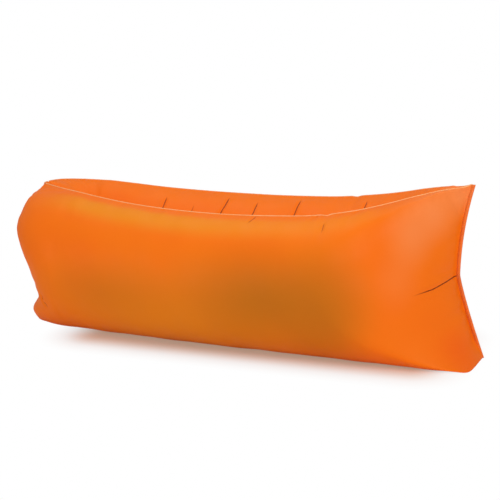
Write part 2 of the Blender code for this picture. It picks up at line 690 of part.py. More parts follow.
def buckle_socket(finish):
    """The socket: a hollow body with a window in each side and a bar for its webbing."""
    half, waist = BUCKLE_WIDTH / 2, BUCKLE_WIDTH / 2 - SOCKET_WAIST
    bottom, body = SOCKET_BAR_Z - BAR_WIDTH / 2, SOCKET_FOOT_Z
    window_high = SOCKET_MOUTH_Z - WINDOW_START
    window_low = window_high - WINDOW_LENGTH
    right = ((waist, bottom), (half, body), (waist, window_low), (waist, window_high),
             (half, SOCKET_MOUTH_Z))
    outline = list(right) + [(-y, z) for y, z in right[::-1]]
    piece = add_object("buckle_socket", rounded(prism(outline, BUCKLE_THICKNESS), BUCKLE_ROUNDING),
                       finish, smooth=True)
    depth, side, over = BUCKLE_THICKNESS / 2 - BUCKLE_WALL, waist - BUCKLE_WALL, BUCKLE_WALL
    cut(piece, block("cut_socket_hollow",
                     buckle_place(-depth, -side, SOCKET_MOUTH_Z - SOCKET_DEPTH),
                     buckle_place(depth, side, SOCKET_MOUTH_Z + over), finish))
    reach = PRONG_THICKNESS / 2 + GAP
    cut(piece, block("cut_socket_windows", buckle_place(-reach, -half - over, window_low),
                     buckle_place(reach, half + over, window_high), finish))
    webbing_bar("socket", piece, SOCKET_BAR_Z, body, finish)
    return piece


def buckle_plug(finish):
    """The plug: a shoulder, a guide rail that enters the socket, and a bar for its webbing."""
    half, rail, tip = BUCKLE_WIDTH / 2, RAIL_WIDTH / 2, PLUG_FACE_Z - RAIL_LENGTH
    top, shoulder = PLUG_BAR_Z + BAR_WIDTH / 2, PLUG_FACE_Z + PLUG_SHOULDER
    right = ((half, PLUG_FACE_Z), (half, shoulder), (half - SOCKET_WAIST, top))
    outline = list(right) + [(-y, z) for y, z in right[::-1]]
    piece = add_object("buckle_plug", rounded(prism(outline, BUCKLE_THICKNESS), BUCKLE_ROUNDING),
                       finish, smooth=True)
    webbing_bar("plug", piece, PLUG_BAR_Z, shoulder, finish)
    inside = PLUG_FACE_Z + PLUG_SHOULDER / 2
    right = ((rail, inside), (rail, tip + rail), (rail / 2, tip))
    guide = add_object("join_plug_rail", prism(list(right) + [(-y, z) for y, z in right[::-1]],
                                               PRONG_THICKNESS), finish)
    guide.hide_render = True
    guide.display_type = "WIRE"
    join = piece.modifiers.new("rail", "BOOLEAN")
    join.operation = "UNION"
    join.solver = "EXACT"
    join.object = guide
    return piece


def spring_arm(name, side, finish):
    """A springy side arm of the plug, whose catch sits in the socket's window."""
    window_top = SOCKET_MOUTH_Z - WINDOW_START
    outside = BUCKLE_WIDTH / 2 - SOCKET_WAIST - BUCKLE_WALL - ARM_SET_IN
    inside, catch = outside - ARM_WIDTH, outside + ARM_CATCH
    root = PLUG_FACE_Z - GAP
    tip = root - ARM_LENGTH
    outline = ((inside, root), (outside, root), (outside, window_top - GAP),
               (catch, window_top - GAP), (catch, window_top - WINDOW_LENGTH / 2),
               (outside - ARM_WIDTH / 2, tip), (inside, tip))
    bm = prism([(side * y, z) for y, z in outline], PRONG_THICKNESS)
    hinge = Vector((RING_X, RING_RADIUS + side * (outside - ARM_WIDTH / 2), root - ARM_WIDTH / 2))
    bmesh.ops.translate(bm, vec=-hinge, verts=bm.verts)
    made = add_object(name, bm, finish)
    made.location = hinge
    return made


def clear():
    """Empty the scene."""
    for item in list(bpy.data.objects):
        bpy.data.objects.remove(item, do_unlink=True)


def main():
    clear()
    cloth = material("coated_cloth", CLOTH_COLOUR, CLOTH_ROUGHNESS)
    thread = material("seam_thread", THREAD_COLOUR, THREAD_ROUGHNESS)
    webbing = material("black_webbing", WEBBING_COLOUR, WEBBING_ROUGHNESS)
    plastic = material("black_plastic", PLASTIC_COLOUR, PLASTIC_ROUGHNESS)
    clear_strip = material("strip_plastic", STRIP_COLOUR, STRIP_ROUGHNESS)
    for label, side in (("near", -1), ("far", 1)):
        panel(f"{label}_outer_panel", outer_point, side, OUTER_KNOTS, OUTER_STEPS, cloth)
        panel(f"{label}_inner_panel", inner_point, side, INNER_KNOTS, INNER_STEPS, cloth)
        rim_seam(f"{label}_rim_seam", side, thread)
    spine_seam(cloth)
    end_binding(cloth)
    mouth_gather(cloth)
    rolled_mouth(cloth)
    mouth_strip("front_mouth_strip", -1, clear_strip)
    mouth_strip("back_mouth_strip", 1, clear_strip)
    low_end, high_end = RECESS_HEIGHT - RING_END + GAP, RECESS_HEIGHT + RING_END - GAP
    webbing_tab("socket_webbing", SOCKET_BAR_Z, low_end, webbing)
    webbing_tab("plug_webbing", PLUG_BAR_Z, high_end, webbing)
    buckle_socket(plastic)
    buckle_plug(plastic)
    spring_arm("inner_spring_arm", -1, plastic)
    spring_arm("outer_spring_arm", 1, plastic)


main()
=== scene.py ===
# %% [markdown]
# # An inflatable air lounger
#
# The CAD part holds the lounger's joints and its firm pieces. This script builds its looks:
# two air chambers blown up by a cloth simulation, their seams and stitches, the pleated
# gather and the rolled mouth at one end, woven webbing, and the light it is seen in.
#
# Metres, +Z up, +X towards the sewn foot end, -Y towards the near chamber and the camera.

# %% Load the frame
import math

import bmesh
import bpy
import numpy as np
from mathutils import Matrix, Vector


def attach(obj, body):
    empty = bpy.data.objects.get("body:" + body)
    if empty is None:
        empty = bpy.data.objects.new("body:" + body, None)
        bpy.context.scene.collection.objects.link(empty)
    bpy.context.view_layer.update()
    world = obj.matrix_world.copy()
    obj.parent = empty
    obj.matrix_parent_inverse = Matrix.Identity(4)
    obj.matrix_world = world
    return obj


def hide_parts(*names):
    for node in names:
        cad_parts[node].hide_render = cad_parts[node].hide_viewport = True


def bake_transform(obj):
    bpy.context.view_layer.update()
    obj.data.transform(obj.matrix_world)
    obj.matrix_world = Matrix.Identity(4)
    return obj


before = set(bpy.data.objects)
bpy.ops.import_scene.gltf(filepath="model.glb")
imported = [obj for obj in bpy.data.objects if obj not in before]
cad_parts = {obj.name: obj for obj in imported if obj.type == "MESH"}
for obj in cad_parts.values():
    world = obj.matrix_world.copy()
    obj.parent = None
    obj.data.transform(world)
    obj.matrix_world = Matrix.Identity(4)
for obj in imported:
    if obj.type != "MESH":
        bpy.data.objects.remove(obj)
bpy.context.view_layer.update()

print("nodes:", sorted(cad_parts))

# %% [markdown]
# ## Sizes
#
# These are the sizes of the blown up lounger. Most are the CAD part's own; the floor contact,
# the corners and the pinch over the floor ears are fitted closer to the photo. A list of
# shares gives a size along the lounger, from the foot tip at 0, or across a panel, from the
# spine seam at 0 to the rim at 1.

# %% Sizes
LENGTH = 1.800
END_SEAM_HEIGHT = 0.628
BELLY_REACH = 0.412
BELLY_HEIGHT = 0.255
BELLY_POWER = 2.25
RIM_HALF_GAP = 0.226
RIM_HEIGHT = 0.515
TROUGH_DEPTH = 0.25
TROUGH_POWER = 0.6
HEEL_DEPTH = 0.05
FLOOR_REACH = 0.165
SHOULDER_LENGTH = 0.233
WAIST_HEIGHT = 0.304
WAIST_INSET = 0.099
WAIST_POWER = 1.15
TOP_INSET = 0.058
TIP_INSET = 0.019
TIP_HEIGHT = 0.557
EAR_INSET = 0.018
EAR_LIFT = 0.003
RECESS_DEPTH = 0.103
RECESS_HEIGHT = 0.300
RECESS_HALF_WIDTH = 0.118
RECESS_HALF_HEIGHT = 0.168
INNER_SINK = 0.064
SEAM_FLAT = 0.015
SEAM_BACK = 0.0024
SIDE_BASE = 0.0006
OUTER_BASE = 0.0026
FLOOR_GROOVE = 0.006
SPINE_TOP = 0.0126

FOOT_X = LENGTH / 2
MOUTH_X = -LENGTH / 2
TRUNK_X = MOUTH_X + SHOULDER_LENGTH
SEAM_X = FOOT_X - SEAM_BACK
SEAM_TOP = 0.637
KINK_SHARE = 0.302
KINK_WIDTH = 0.0065
KINK_DROP = 0.0045
RECESS_X = MOUTH_X + RECESS_DEPTH
RECESS_LOW = Vector((RECESS_X, 0, RECESS_HEIGHT - RECESS_HALF_HEIGHT))
RECESS_HIGH = Vector((RECESS_X, 0, RECESS_HEIGHT + RECESS_HALF_HEIGHT))

RIM_GAP_SHARES = ((0.0, 0.0), (0.037, 0.035), (0.081, 0.15), (0.136, 0.37), (0.192, 0.60),
                  (0.247, 0.80), (0.302, 0.915), (0.385, 0.965), (0.523, 1.0), (0.634, 0.955),
                  (0.744, 0.85), (0.827, 0.735), (0.871, 0.65))
RIM_HEIGHT_SHARES = ((0.0, 1.222), (0.081, 1.205), (0.136, 1.165), (0.192, 1.113),
                     (0.247, 1.070), (0.330, 1.027), (0.413, 1.009), (0.523, 0.999),
                     (0.634, 1.004), (0.744, 1.023), (0.827, 1.050), (0.871, 1.066))
BELLY_REACH_SHARES = ((0.0, 0.73), (0.136, 0.88), (0.247, 0.95), (0.413, 0.99), (0.523, 1.0),
                      (0.70, 0.975), (0.871, 0.90))
BELLY_HEIGHT_SHARES = ((0.0, 1.18), (0.247, 1.06), (0.523, 1.0), (0.871, 1.10))
FLOOR_REACH_SHARES = ((0.0, 1.18), (0.08, 1.08), (0.15, 0.98), (0.30, 0.76), (0.50, 0.60),
                      (0.70, 0.50), (0.871, 0.42))
UPPER_OPENING = ((0.32, 0.13), (0.45, 0.22), (0.58, 0.25), (0.75, 0.22), (0.90, 0.14), (1.0, 0.03))
OPENING_SHARES = (
    (0.0, 0.010), (0.10, 0.014), (0.15, 0.020), (0.20, 0.038), (0.25, 0.070)) + UPPER_OPENING
SQUARE_OPENING_SHARES = (
    (0.0, 0.004), (0.10, 0.005), (0.15, 0.008), (0.20, 0.030), (0.25, 0.068)) + UPPER_OPENING
SHOULDER_REACH_SHARES = ((0.0, 0.962), (0.10, 0.972), (0.15, 0.977), (0.23, 0.962), (0.33, 0.943),
                         (0.415, 0.879), (0.47, 0.890), (0.57, 0.950), (0.68, 0.998),
                         (0.76, 1.0), (0.90, 0.988), (1.0, 0.979))
LOWER_ROUND = ((0.0, 1.6), (0.15, 2.4), (0.28, 2.2), (0.50, 2.0))
NEAR_ROUND_SHARES = LOWER_ROUND + ((0.85, 1.9), (1.0, 1.1))
FAR_ROUND_SHARES = LOWER_ROUND + ((0.85, 2.0), (1.0, 3.0))
SHOULDER_PLACE_SHARES = ((0.0, 0.46), (0.15, 0.84), (0.28, 0.68), (0.348, 0.58), (0.45, 0.46),
                         (0.80, 0.46), (1.0, 0.20))
FLOOR_SHARE = 0.15
WAIST_SHARE = 0.62
BELLY_SHARE = 0.52
TROUGH_SHARE = 0.5
GROOVE_SHARE = 0.33
MOUTH_LOW_SHARE = 0.28
MOUTH_HIGH_SHARE = 0.76
OUTER_SEAM_SHARES = ((0.0, 0.0), (0.075, 0.006), (0.15, 0.020), (0.28, 0.130),
                     (WAIST_SHARE, WAIST_HEIGHT / SEAM_TOP), (0.80, 0.73), (1.0, 1.0))
print("length", LENGTH, "m, rim height", RIM_HEIGHT, "m")

# %% [markdown]
# ## The surface of a chamber
#
# A chamber is sewn from an outer and an inner panel. Each panel is a surface with a place
# along it, 0 to 1 on the trunk and 1 to 2 round the shoulder, and a place across it, from
# the spine seam at 0 to the rim at 1. The rim is the line where the two panels meet.


# %% Surface functions
def curve_through(table, place):
    """The value at a place on a smooth curve through a table of shares."""
    last = len(table) - 1
    if place <= table[0][0]:
        return table[0][1]
    if place >= table[last][0]:
        return table[last][1]
    left = max(row for row in range(last) if table[row][0] <= place)

    def secant(row):
        return (table[row + 1][1] - table[row][1]) / (table[row + 1][0] - table[row][0])

    def slope(row):
        before, after = secant(max(row - 1, 0)), secant(min(row, last - 1))
        if before * after <= 0:
            return 0.0
        return math.copysign(min(abs(before + after) / 2, 3 * abs(before), 3 * abs(after)), before)

    width = table[left + 1][0] - table[left][0]
    t = (place - table[left][0]) / width
    rise, fall = slope(left) * width, slope(left + 1) * width
    return ((2 * t**3 - 3 * t**2 + 1) * table[left][1] + (t**3 - 2 * t**2 + t) * rise
            + (3 * t**2 - 2 * t**3) * table[left + 1][1] + (t**3 - t**2) * fall)


def round_share(turn, power=2.0):
    """Sine and cosine of a quarter turn, squared off by a power above 2."""
    angle = turn * math.pi / 2
    return math.sin(angle) ** (2 / power), max(0.0, math.cos(angle)) ** (2 / power)


def seam_x(height):
    """The end seam's place along X at a height: a fishtail with a waist."""
    if height < WAIST_HEIGHT:
        return SEAM_X - WAIST_INSET * (1 - (1 - height / WAIST_HEIGHT) ** WAIST_POWER)
    rise = (height - WAIST_HEIGHT) / (END_SEAM_HEIGHT - WAIST_HEIGHT)
    return SEAM_X - WAIST_INSET + (WAIST_INSET - TOP_INSET) * rise**2


def rim(share):
    """Half gap and height of the rim at a share of the length, with a small kink."""
    kink = KINK_DROP * math.exp(-((share - KINK_SHARE) / KINK_WIDTH) ** 2)
    return (RIM_HALF_GAP * curve_through(RIM_GAP_SHARES, share),
            RIM_HEIGHT * curve_through(RIM_HEIGHT_SHARES, share) - kink)


def outer_section(share, across):
    """The outer panel's section: floor, belly, then up and over to the rim."""
    rim_y, rim_z = rim(share)
    belly_y = BELLY_REACH * curve_through(BELLY_REACH_SHARES, share)
    belly_z = BELLY_HEIGHT * curve_through(BELLY_HEIGHT_SHARES, share)
    floor_y = FLOOR_REACH * curve_through(FLOOR_REACH_SHARES, share)
    if across <= FLOOR_SHARE:
        part = across / FLOOR_SHARE
        lift = FLOOR_GROOVE * max(0.0, 1 - part / GROOVE_SHARE) ** 2
        return floor_y * part, lift
    if across <= BELLY_SHARE:
        up, over = round_share((across - FLOOR_SHARE) / (BELLY_SHARE - FLOOR_SHARE), BELLY_POWER)
        return floor_y + (belly_y - floor_y) * up, belly_z * (1 - over)
    up, over = round_share((across - BELLY_SHARE) / (1 - BELLY_SHARE))
    return rim_y + (belly_y - rim_y) * over, belly_z + (rim_z - belly_z) * up


def inner_section(share, across):
    """The inner panel's section: up the middle, then out to the rim."""
    rim_y, rim_z = rim(share)
    deeper = (TROUGH_DEPTH - HEEL_DEPTH) * min(1.0, rim_y / RIM_HALF_GAP) ** TROUGH_POWER
    trough_z = rim_z - HEEL_DEPTH - deeper
    if across <= TROUGH_SHARE:
        return 0.0, SPINE_TOP + (trough_z - SPINE_TOP) * across / TROUGH_SHARE
    up, over = round_share((across - TROUGH_SHARE) / (1 - TROUGH_SHARE))
    return rim_y * (1 - over), trough_z + (rim_z - trough_z) * up


def opening(distance, across, near):
    """How far the section has opened at a distance from the end seam, from 0 to 1."""
    table = SQUARE_OPENING_SHARES if near else OPENING_SHARES
    flat = SEAM_FLAT * min(1.0, max(0.1, (across - FLOOR_SHARE) / 0.1)) if near else SEAM_FLAT
    part = min(1.0, max(0.0, (distance - flat) / (LENGTH * curve_through(table, across))))
    return (1 - (1 - part) ** 2) ** 0.75


def outer_seam_height(across):
    """How high a place across the outer panel lies in the end seam."""
    return SEAM_TOP * curve_through(OUTER_SEAM_SHARES, across)


def inner_seam_height(across):
    """How high a place across the inner panel lies in the end seam."""
    heel_z = SEAM_TOP - HEEL_DEPTH
    if across <= TROUGH_SHARE:
        return SPINE_TOP + (heel_z - SPINE_TOP) * across / TROUGH_SHARE
    return heel_z + HEEL_DEPTH * round_share((across - TROUGH_SHARE) / (1 - TROUGH_SHARE))[0]


def trunk_point(section, seam_height, base, along, across, near=False):
    """A point of a panel between the end seam and the shoulder, on the side of +Y."""
    seam_z = seam_height(across)
    start = seam_x(seam_z)
    x = start + (TRUNK_X - start) * along
    opened = opening(start - x, across, near)
    y, z = section((FOOT_X - x) / LENGTH, across)
    return Vector((x, base + y * opened, seam_z * (1 - opened) + z * opened))


def mouth_line(across):
    """The edge of the outer panel at the mouth: ear, recess, then up to the rim tip."""
    ear = Vector((MOUTH_X + EAR_INSET, 0, EAR_LIFT))
    tip = Vector((MOUTH_X + TIP_INSET, 0, TIP_HEIGHT))
    if across < MOUTH_LOW_SHARE:
        return ear.lerp(RECESS_LOW, (across / MOUTH_LOW_SHARE) ** 2)
    if across > MOUTH_HIGH_SHARE:
        return RECESS_HIGH.lerp(tip, (across - MOUTH_HIGH_SHARE) / (1 - MOUTH_HIGH_SHARE))
    angle = math.pi * (across - MOUTH_LOW_SHARE) / (MOUTH_HIGH_SHARE - MOUTH_LOW_SHARE)
    return Vector((RECESS_X, RECESS_HALF_WIDTH * math.sin(angle),
                   RECESS_HEIGHT - RECESS_HALF_HEIGHT * math.cos(angle)))


def inner_mouth_line(across):
    """The edge of the inner panel at the mouth, inside the recess and behind the gather."""
    inside = Vector((INNER_SINK, 0, 0))
    low = RECESS_LOW + inside
    high = RECESS_HIGH + inside
    ear = Vector((MOUTH_X + EAR_INSET, 0, SPINE_TOP)) + inside
    if across < MOUTH_LOW_SHARE:
        return ear.lerp(low, across / MOUTH_LOW_SHARE)
    if across > MOUTH_HIGH_SHARE:
        return high.lerp(mouth_line(1.0), (across - MOUTH_HIGH_SHARE) / (1 - MOUTH_HIGH_SHARE))
    return low.lerp(high, (across - MOUTH_LOW_SHARE) / (MOUTH_HIGH_SHARE - MOUTH_LOW_SHARE))


def shoulder_point(start, reach, end, across, turn, near):
    """A point on two quarter rounds: back to the shoulder's reach, then in to the mouth."""
    place = end.lerp(start, curve_through(SHOULDER_PLACE_SHARES, across))
    power = curve_through(NEAR_ROUND_SHARES if near else FAR_ROUND_SHARES, across)
    if turn <= 0.5:
        back, side = round_share(turn * 2, power)
        bent = Vector((start.x + (reach - start.x) * back,
                       place.y + (start.y - place.y) * side,
                       place.z + (start.z - place.z) * side))
    else:
        inward, depth = round_share(turn * 2 - 1, power)
        bent = Vector((end.x + (reach - end.x) * depth,
                       place.y + (end.y - place.y) * inward,
                       place.z + (end.z - place.z) * inward))
    return start.lerp(end, turn).lerp(bent, min(1.0, across / FLOOR_SHARE))


def outer_point(along, across, near=False):
    """The outer panel's surface. The near foot corner and the far head corner are squarer."""
    if along <= 1:
        return trunk_point(outer_section, outer_seam_height, OUTER_BASE, along, across, near)
    start = trunk_point(outer_section, outer_seam_height, OUTER_BASE, 1.0, across)
    end = mouth_line(across) + Vector((0, OUTER_BASE, 0))
    reach = MOUTH_X * curve_through(SHOULDER_REACH_SHARES, across)
    return shoulder_point(start, reach, end, across, along - 1, near)


def inner_point(along, across, near=False):
    """The inner panel's surface, which faces the other chamber and the trough."""
    if along <= 1:
        return trunk_point(inner_section, inner_seam_height, SIDE_BASE, along, across)
    turn = along - 1
    start = trunk_point(inner_section, inner_seam_height, SIDE_BASE, 1.0, across)
    line = outer_point(1.0, 1.0).lerp(mouth_line(1.0), turn)
    bow = (outer_point(along, 1.0, near) - Vector((0, OUTER_BASE * turn, 0)) - line) * across**5
    point = start.lerp(inner_mouth_line(across), turn) + bow
    return Vector((point.x, max(SIDE_BASE, point.y), point.z))


print("rim at mid length:", [round(v, 3) for v in outer_point(0.55, 1.0)])

# %% [markdown]
# ## Cloth grids
#
# Both panels together make a tube whose section is a closed loop: out over the floor and
# belly to the rim, then down the trough wall to the spine. The tube's ends are the flat end
# seam and the mouth, where the edges of the panels are joined behind the gather. The texture
# coordinates are metres of cloth, so that the ripstop squares have their real size.

# %% Chamber grids
TRUNK_COLUMNS = 150
SHOULDER_COLUMNS = 48
OUTER_ROWS = 54
INNER_ROWS = 46
RIM_APART = 0.0016
SEED = 11


def linear(hex_colour):
    """A colour written as sRGB hex, as the linear values that a shader takes."""
    parts = [int(hex_colour[i:i + 2], 16) / 255 for i in (0, 2, 4)]
    made = [c / 12.92 if c <= 0.04045 else ((c + 0.055) / 1.055) ** 2.4 for c in parts]
    return (*made, 1.0)


def run_along(points):
    """How far along a line each of its points lies."""
    return np.concatenate([[0], np.cumsum(np.linalg.norm(np.diff(points, axis=0), axis=1))])


def even_places(surface, count):
    """Places across a panel at even steps in metres, closer near the rim."""
    fine = np.linspace(0.0, 1.0, 300)
    run = run_along(np.array([surface(0.5, across) for across in fine]))
    wanted = 1 - (1 - np.linspace(0, 1, count + 1)) ** 1.2
    return np.interp(wanted * run[-1], run, fine)


def stations():
    """Places along a panel, a few in the flat seam and closer together beside it."""
    hem = SEAM_FLAT / (FOOT_X - TRUNK_X)
    trunk = [hem + (1 - hem) * (step / TRUNK_COLUMNS) ** 1.2 for step in range(TRUNK_COLUMNS + 1)]
    shoulder = [1 + step / SHOULDER_COLUMNS for step in range(1, SHOULDER_COLUMNS + 1)]
    return [0.0, hem / 3, hem * 2 / 3] + trunk + shoulder


def chamber_grid(near):
    """Points of the closed loop at every station, on the side of +Y."""
    outer_places = even_places(outer_point, OUTER_ROWS)
    inner_places = even_places(inner_point, INNER_ROWS)
    grid = []
    for along in stations():
        outer = [outer_point(along, across, near) for across in outer_places]
        inner = [inner_point(along, across, near) for across in inner_places]
        top = (outer[-1] + inner[-1]) / 2
        top.y = max(top.y, RIM_APART)
        foot = (outer[0] + inner[0]) / 2
        foot.y = SIDE_BASE
        grid.append([foot] + outer[1:-1] + [top] + inner[-2:0:-1])
    return np.array(grid)


GRIDS = {side: chamber_grid(side < 0) for side in (-1, 1)}
GRID = GRIDS[1]
COLUMNS, LOOP = GRID.shape[:2]
RIM_ROW = OUTER_ROWS
ALONG_M = run_along(GRID[:, RIM_ROW])
row_step = np.linalg.norm(np.diff(np.concatenate([GRID, GRID[:, :1]], axis=1), axis=1), axis=2)
ACROSS_M = np.concatenate([np.zeros((COLUMNS, 1)), np.cumsum(row_step, axis=1)], axis=1)
RIM_DISTANCE = np.abs(ACROSS_M[:, :LOOP] - ACROSS_M[:, RIM_ROW:RIM_ROW + 1])
column_step = np.linalg.norm(np.diff(GRID, axis=0), axis=2)
SEAM_DISTANCE = np.concatenate([np.zeros((1, LOOP)), np.cumsum(column_step, axis=0)])
MOUTH_DISTANCE = SEAM_DISTANCE[-1] - SEAM_DISTANCE
print("grid", COLUMNS, "x", LOOP, "rim length", round(float(ALONG_M[-1]), 3), "m")

# %% [markdown]
# ## Blowing the chambers up
#
# Each chamber is pinned along its seams and blown up from inside for a few frames. The cloth
# is a little larger than its shape, so it puckers along the pinned seams. The moves are kept
# small, because the photographed outline already is that of a full lounger, and smallest
# near the floor.

# %% Chamber meshes and their air
AIR_FRAMES = 18
AIR = {"quality": 4, "mass": 0.12, "use_pressure": True, "uniform_pressure_force": 4.0,
       "vertex_group_mass": "pinned", "shrink_min": -0.012, "tension_stiffness": 30,
       "compression_stiffness": 30, "shear_stiffness": 12, "bending_stiffness": 0.4}
PINNED_COLUMNS = 4
MOST_MOVE = 0.006
LOW_CLOTH = 0.12
LEAST_SHARE = 0.15
FLOAT_NAMES = ("rim_m", "seam_m", "mouth_m", "along_m", "inner")


def linked(name, mesh):
    """A new object of the scene with a mesh."""
    made = bpy.data.objects.new(name, mesh)
    bpy.context.scene.collection.objects.link(made)
    return made


def add_values(mesh, label, values):
    """Give every point of a mesh one float."""
    layer = mesh.attributes.new(label, "FLOAT", "POINT")
    layer.data.foreach_set("value", values.astype(np.float32).ravel())


def cap_rings(column):
    """Triangles between the panels' edges at one end, from the spine up to the rim."""
    outer, inner = 0, LOOP
    rings = []
    while outer < RIM_ROW or inner > RIM_ROW:
        next_outer = GRID[column, outer + 1, 2] if outer < RIM_ROW else math.inf
        next_inner = GRID[column, inner - 1, 2] if inner > RIM_ROW else math.inf
        if next_outer <= next_inner:
            ring = [outer, outer + 1, inner % LOOP]
            outer += 1
        else:
            ring = [outer, inner - 1, inner % LOOP]
            inner -= 1
        if len(set(ring)) == 3:
            rings.append(ring)
    return rings


def chamber_mesh(name, side):
    """One chamber as a closed mesh with its distances and its cloth coordinates."""
    points = GRIDS[side] * np.array([1, side, 1])
    faces = []
    cloth_uv = []
    for column in range(COLUMNS - 1):
        for row in range(LOOP):
            after = (row + 1) % LOOP
            corners = ((column, row, row), (column, after, row + 1),
                       (column + 1, after, row + 1), (column + 1, row, row))
            if side > 0:
                corners = corners[::-1]
            faces.append([c * LOOP + r for c, r, _ in corners])
            cloth_uv += [(ALONG_M[c], ACROSS_M[c, place]) for c, _, place in corners]
    for column in (0, COLUMNS - 1):
        for ring in cap_rings(column):
            if (column == 0) == (side < 0):
                ring = ring[::-1]
            faces.append([column * LOOP + r for r in ring])
            cloth_uv += [(ALONG_M[column], ACROSS_M[column, r]) for r in ring]
    mesh = bpy.data.meshes.new(name)
    mesh.from_pydata([tuple(v) for v in points.reshape(-1, 3)], [], faces)
    layer = mesh.uv_layers.new(name="cloth_m")
    layer.data.foreach_set("uv", np.array(cloth_uv, np.float32).ravel())
    inner = np.zeros((COLUMNS, LOOP))
    inner[:, RIM_ROW + 1:] = 1
    along = np.repeat(ALONG_M[:, None], LOOP, axis=1)
    measures = (RIM_DISTANCE, SEAM_DISTANCE, MOUTH_DISTANCE, along, inner)
    for label, measure in zip(FLOAT_NAMES, measures):
        add_values(mesh, label, measure)
    return linked(name, mesh)


def coordinates(mesh):
    """A mesh's points as an array."""
    flat = np.empty(len(mesh.vertices) * 3, np.float32)
    mesh.vertices.foreach_get("co", flat)
    return flat.reshape(-1, 3).astype(float)


def set_coordinates(mesh, points):
    """Write an array of points back to a mesh."""
    mesh.vertices.foreach_set("co", points.astype(np.float32).ravel())
    mesh.update()


def blow_up(chambers):
    """Blow the chambers up together, then keep the capped moves."""
    scene = bpy.context.scene
    pinned = np.zeros((COLUMNS, LOOP))
    pinned[:PINNED_COLUMNS] = 1
    pinned[-1] = 1
    pinned[:, 0] = 1
    pinned[:, RIM_ROW] = 1
    fixed = np.flatnonzero(pinned.ravel()).tolist()
    rest = {}
    for chamber in chambers:
        rest[chamber] = coordinates(chamber.data)
        chamber.vertex_groups.new(name="pinned").add(fixed, 1.0, "REPLACE")
        air = chamber.modifiers.new("air", "CLOTH")
        for label, value in AIR.items():
            setattr(air.settings, label, value)
        air.settings.effector_weights.gravity = 0.0
        air.point_cache.frame_end = AIR_FRAMES
    for number in range(1, AIR_FRAMES + 1):
        scene.frame_set(number)
    for chamber in chambers:
        evaluated = chamber.evaluated_get(bpy.context.evaluated_depsgraph_get())
        move = coordinates(evaluated.data) - rest[chamber]
        size = np.linalg.norm(move, axis=1, keepdims=True)
        most = MOST_MOVE * np.clip(rest[chamber][:, 2:] / LOW_CLOTH, LEAST_SHARE, 1)
        move *= most * np.tanh(size / most) / np.maximum(size, 1e-9)
        chamber.modifiers.remove(chamber.modifiers["air"])
        set_coordinates(chamber.data, rest[chamber] + move)
        print(chamber.name, "moved by up to", round(float(size.max()) * 1000, 1), "mm")
    scene.frame_set(1)


near_chamber = chamber_mesh("near_chamber", -1)
far_chamber = chamber_mesh("far_chamber", 1)
CHAMBERS = ((near_chamber, -1), (far_chamber, 1))
blow_up([near_chamber, far_chamber])

# %% [markdown]
# ## Creases and puckers
#
# The blown up cloth is refined once. Puckers run across the rim and the end seam, folds
# gather round the mouth, and a few long thin creases run where the photo shows them: down
# the far trough wall, over the near rim, at the sewn end and at the near floor ear. Every
# one of them is a move along the surface's normal, and each crease also carries a thin line
# of painted shade in the cloth's colour.

# %% Creases and puckers
FIELD_REACH = 0.022
NORMAL_REACH = 0.03
LINE_REACH = 0.04
CALM_REACH = 0.030
POINT_APART = 0.0003
RIM_PUCKER = 0.0016
RIM_FOLD = 0.0014
END_PUCKER = 0.0016
END_FOLD = 0.0020
MOUTH_FOLD = 0.0042
BROAD_SWELL = 0.0016
SLANT_SWELL = 0.0008
# Each crease: its points, its depth and half width in metres, the darkness of its painted
# shade, and the shares of its length over which it fades in and out.
FAR_CREASES = (
    (((-0.420, 0.036, 0.420), (-0.408, 0.076, 0.470), (-0.409, 0.122, 0.507)),
     0.0050, 0.0060, 0.9, 0.3, 0.2),
    (((-0.300, 0.050, 0.425), (-0.285, 0.081, 0.462), (-0.285, 0.107, 0.483)),
     0.0025, 0.0050, 0.5, 0.4, 0.4),
    (((-0.172, 0.052, 0.415), (-0.164, 0.098, 0.466), (-0.160, 0.118, 0.483), (-0.160, 0.180, 0.506)),
     0.0050, 0.0060, 1.0, 0.2, 0.2),
    (((-0.050, 0.050, 0.405), (-0.033, 0.097, 0.464), (-0.033, 0.160, 0.500)),
     0.0040, 0.0055, 0.9, 0.2, 0.2),
    (((0.122, 0.050, 0.412), (0.136, 0.097, 0.470), (0.136, 0.192, 0.513)),
     0.0050, 0.0060, 1.0, 0.2, 0.2),
    (((0.396, 0.060, 0.470), (0.410, 0.098, 0.507), (0.412, 0.146, 0.534)),
     0.0045, 0.0060, 0.9, 0.2, 0.2),
)
NEAR_CREASES = (
    (((0.082, -0.290, 0.499), (0.086, -0.269, 0.509), (0.096, -0.230, 0.517)),
     0.0035, 0.0050, 0.6, 0.5, 0.1),
    (((0.366, -0.315, 0.489), (0.365, -0.300, 0.499), (0.362, -0.269, 0.520)),
     0.0035, 0.0050, 0.5, 0.5, 0.2),
    (((0.800, -0.003, 0.303), (0.781, -0.045, 0.298), (0.762, -0.083, 0.290), (0.727, -0.139, 0.276),
      (0.664, -0.218, 0.264)),
     0.0050, 0.0075, 1.0, 0.02, 0.35),
    (((-0.738, -0.333, 0.170), (-0.743, -0.315, 0.152), (-0.735, -0.318, 0.140), (-0.713, -0.323, 0.122)),
     0.0050, 0.0065, 1.0, 0.05, 0.4),
)


def refined(chamber):
    """Split each of a chamber's faces in four and smooth them."""
    smooth = chamber.modifiers.new("refined", "SUBSURF")
    smooth.levels = 1
    smooth.render_levels = 1
    smooth.boundary_smooth = "PRESERVE_CORNERS"
    evaluated = chamber.evaluated_get(bpy.context.evaluated_depsgraph_get())
    mesh = bpy.data.meshes.new_from_object(evaluated)
    chamber.modifiers.remove(smooth)
    old = chamber.data
    chamber.data = mesh
    bpy.data.meshes.remove(old)
    mesh.name = chamber.name
    chamber.vertex_groups.clear()


def values(mesh, label):
    """One of the mesh's float attributes as an array."""
    flat = np.empty(len(mesh.vertices), np.float32)
    mesh.attributes[label].data.foreach_get("value", flat)
    return flat.astype(float)


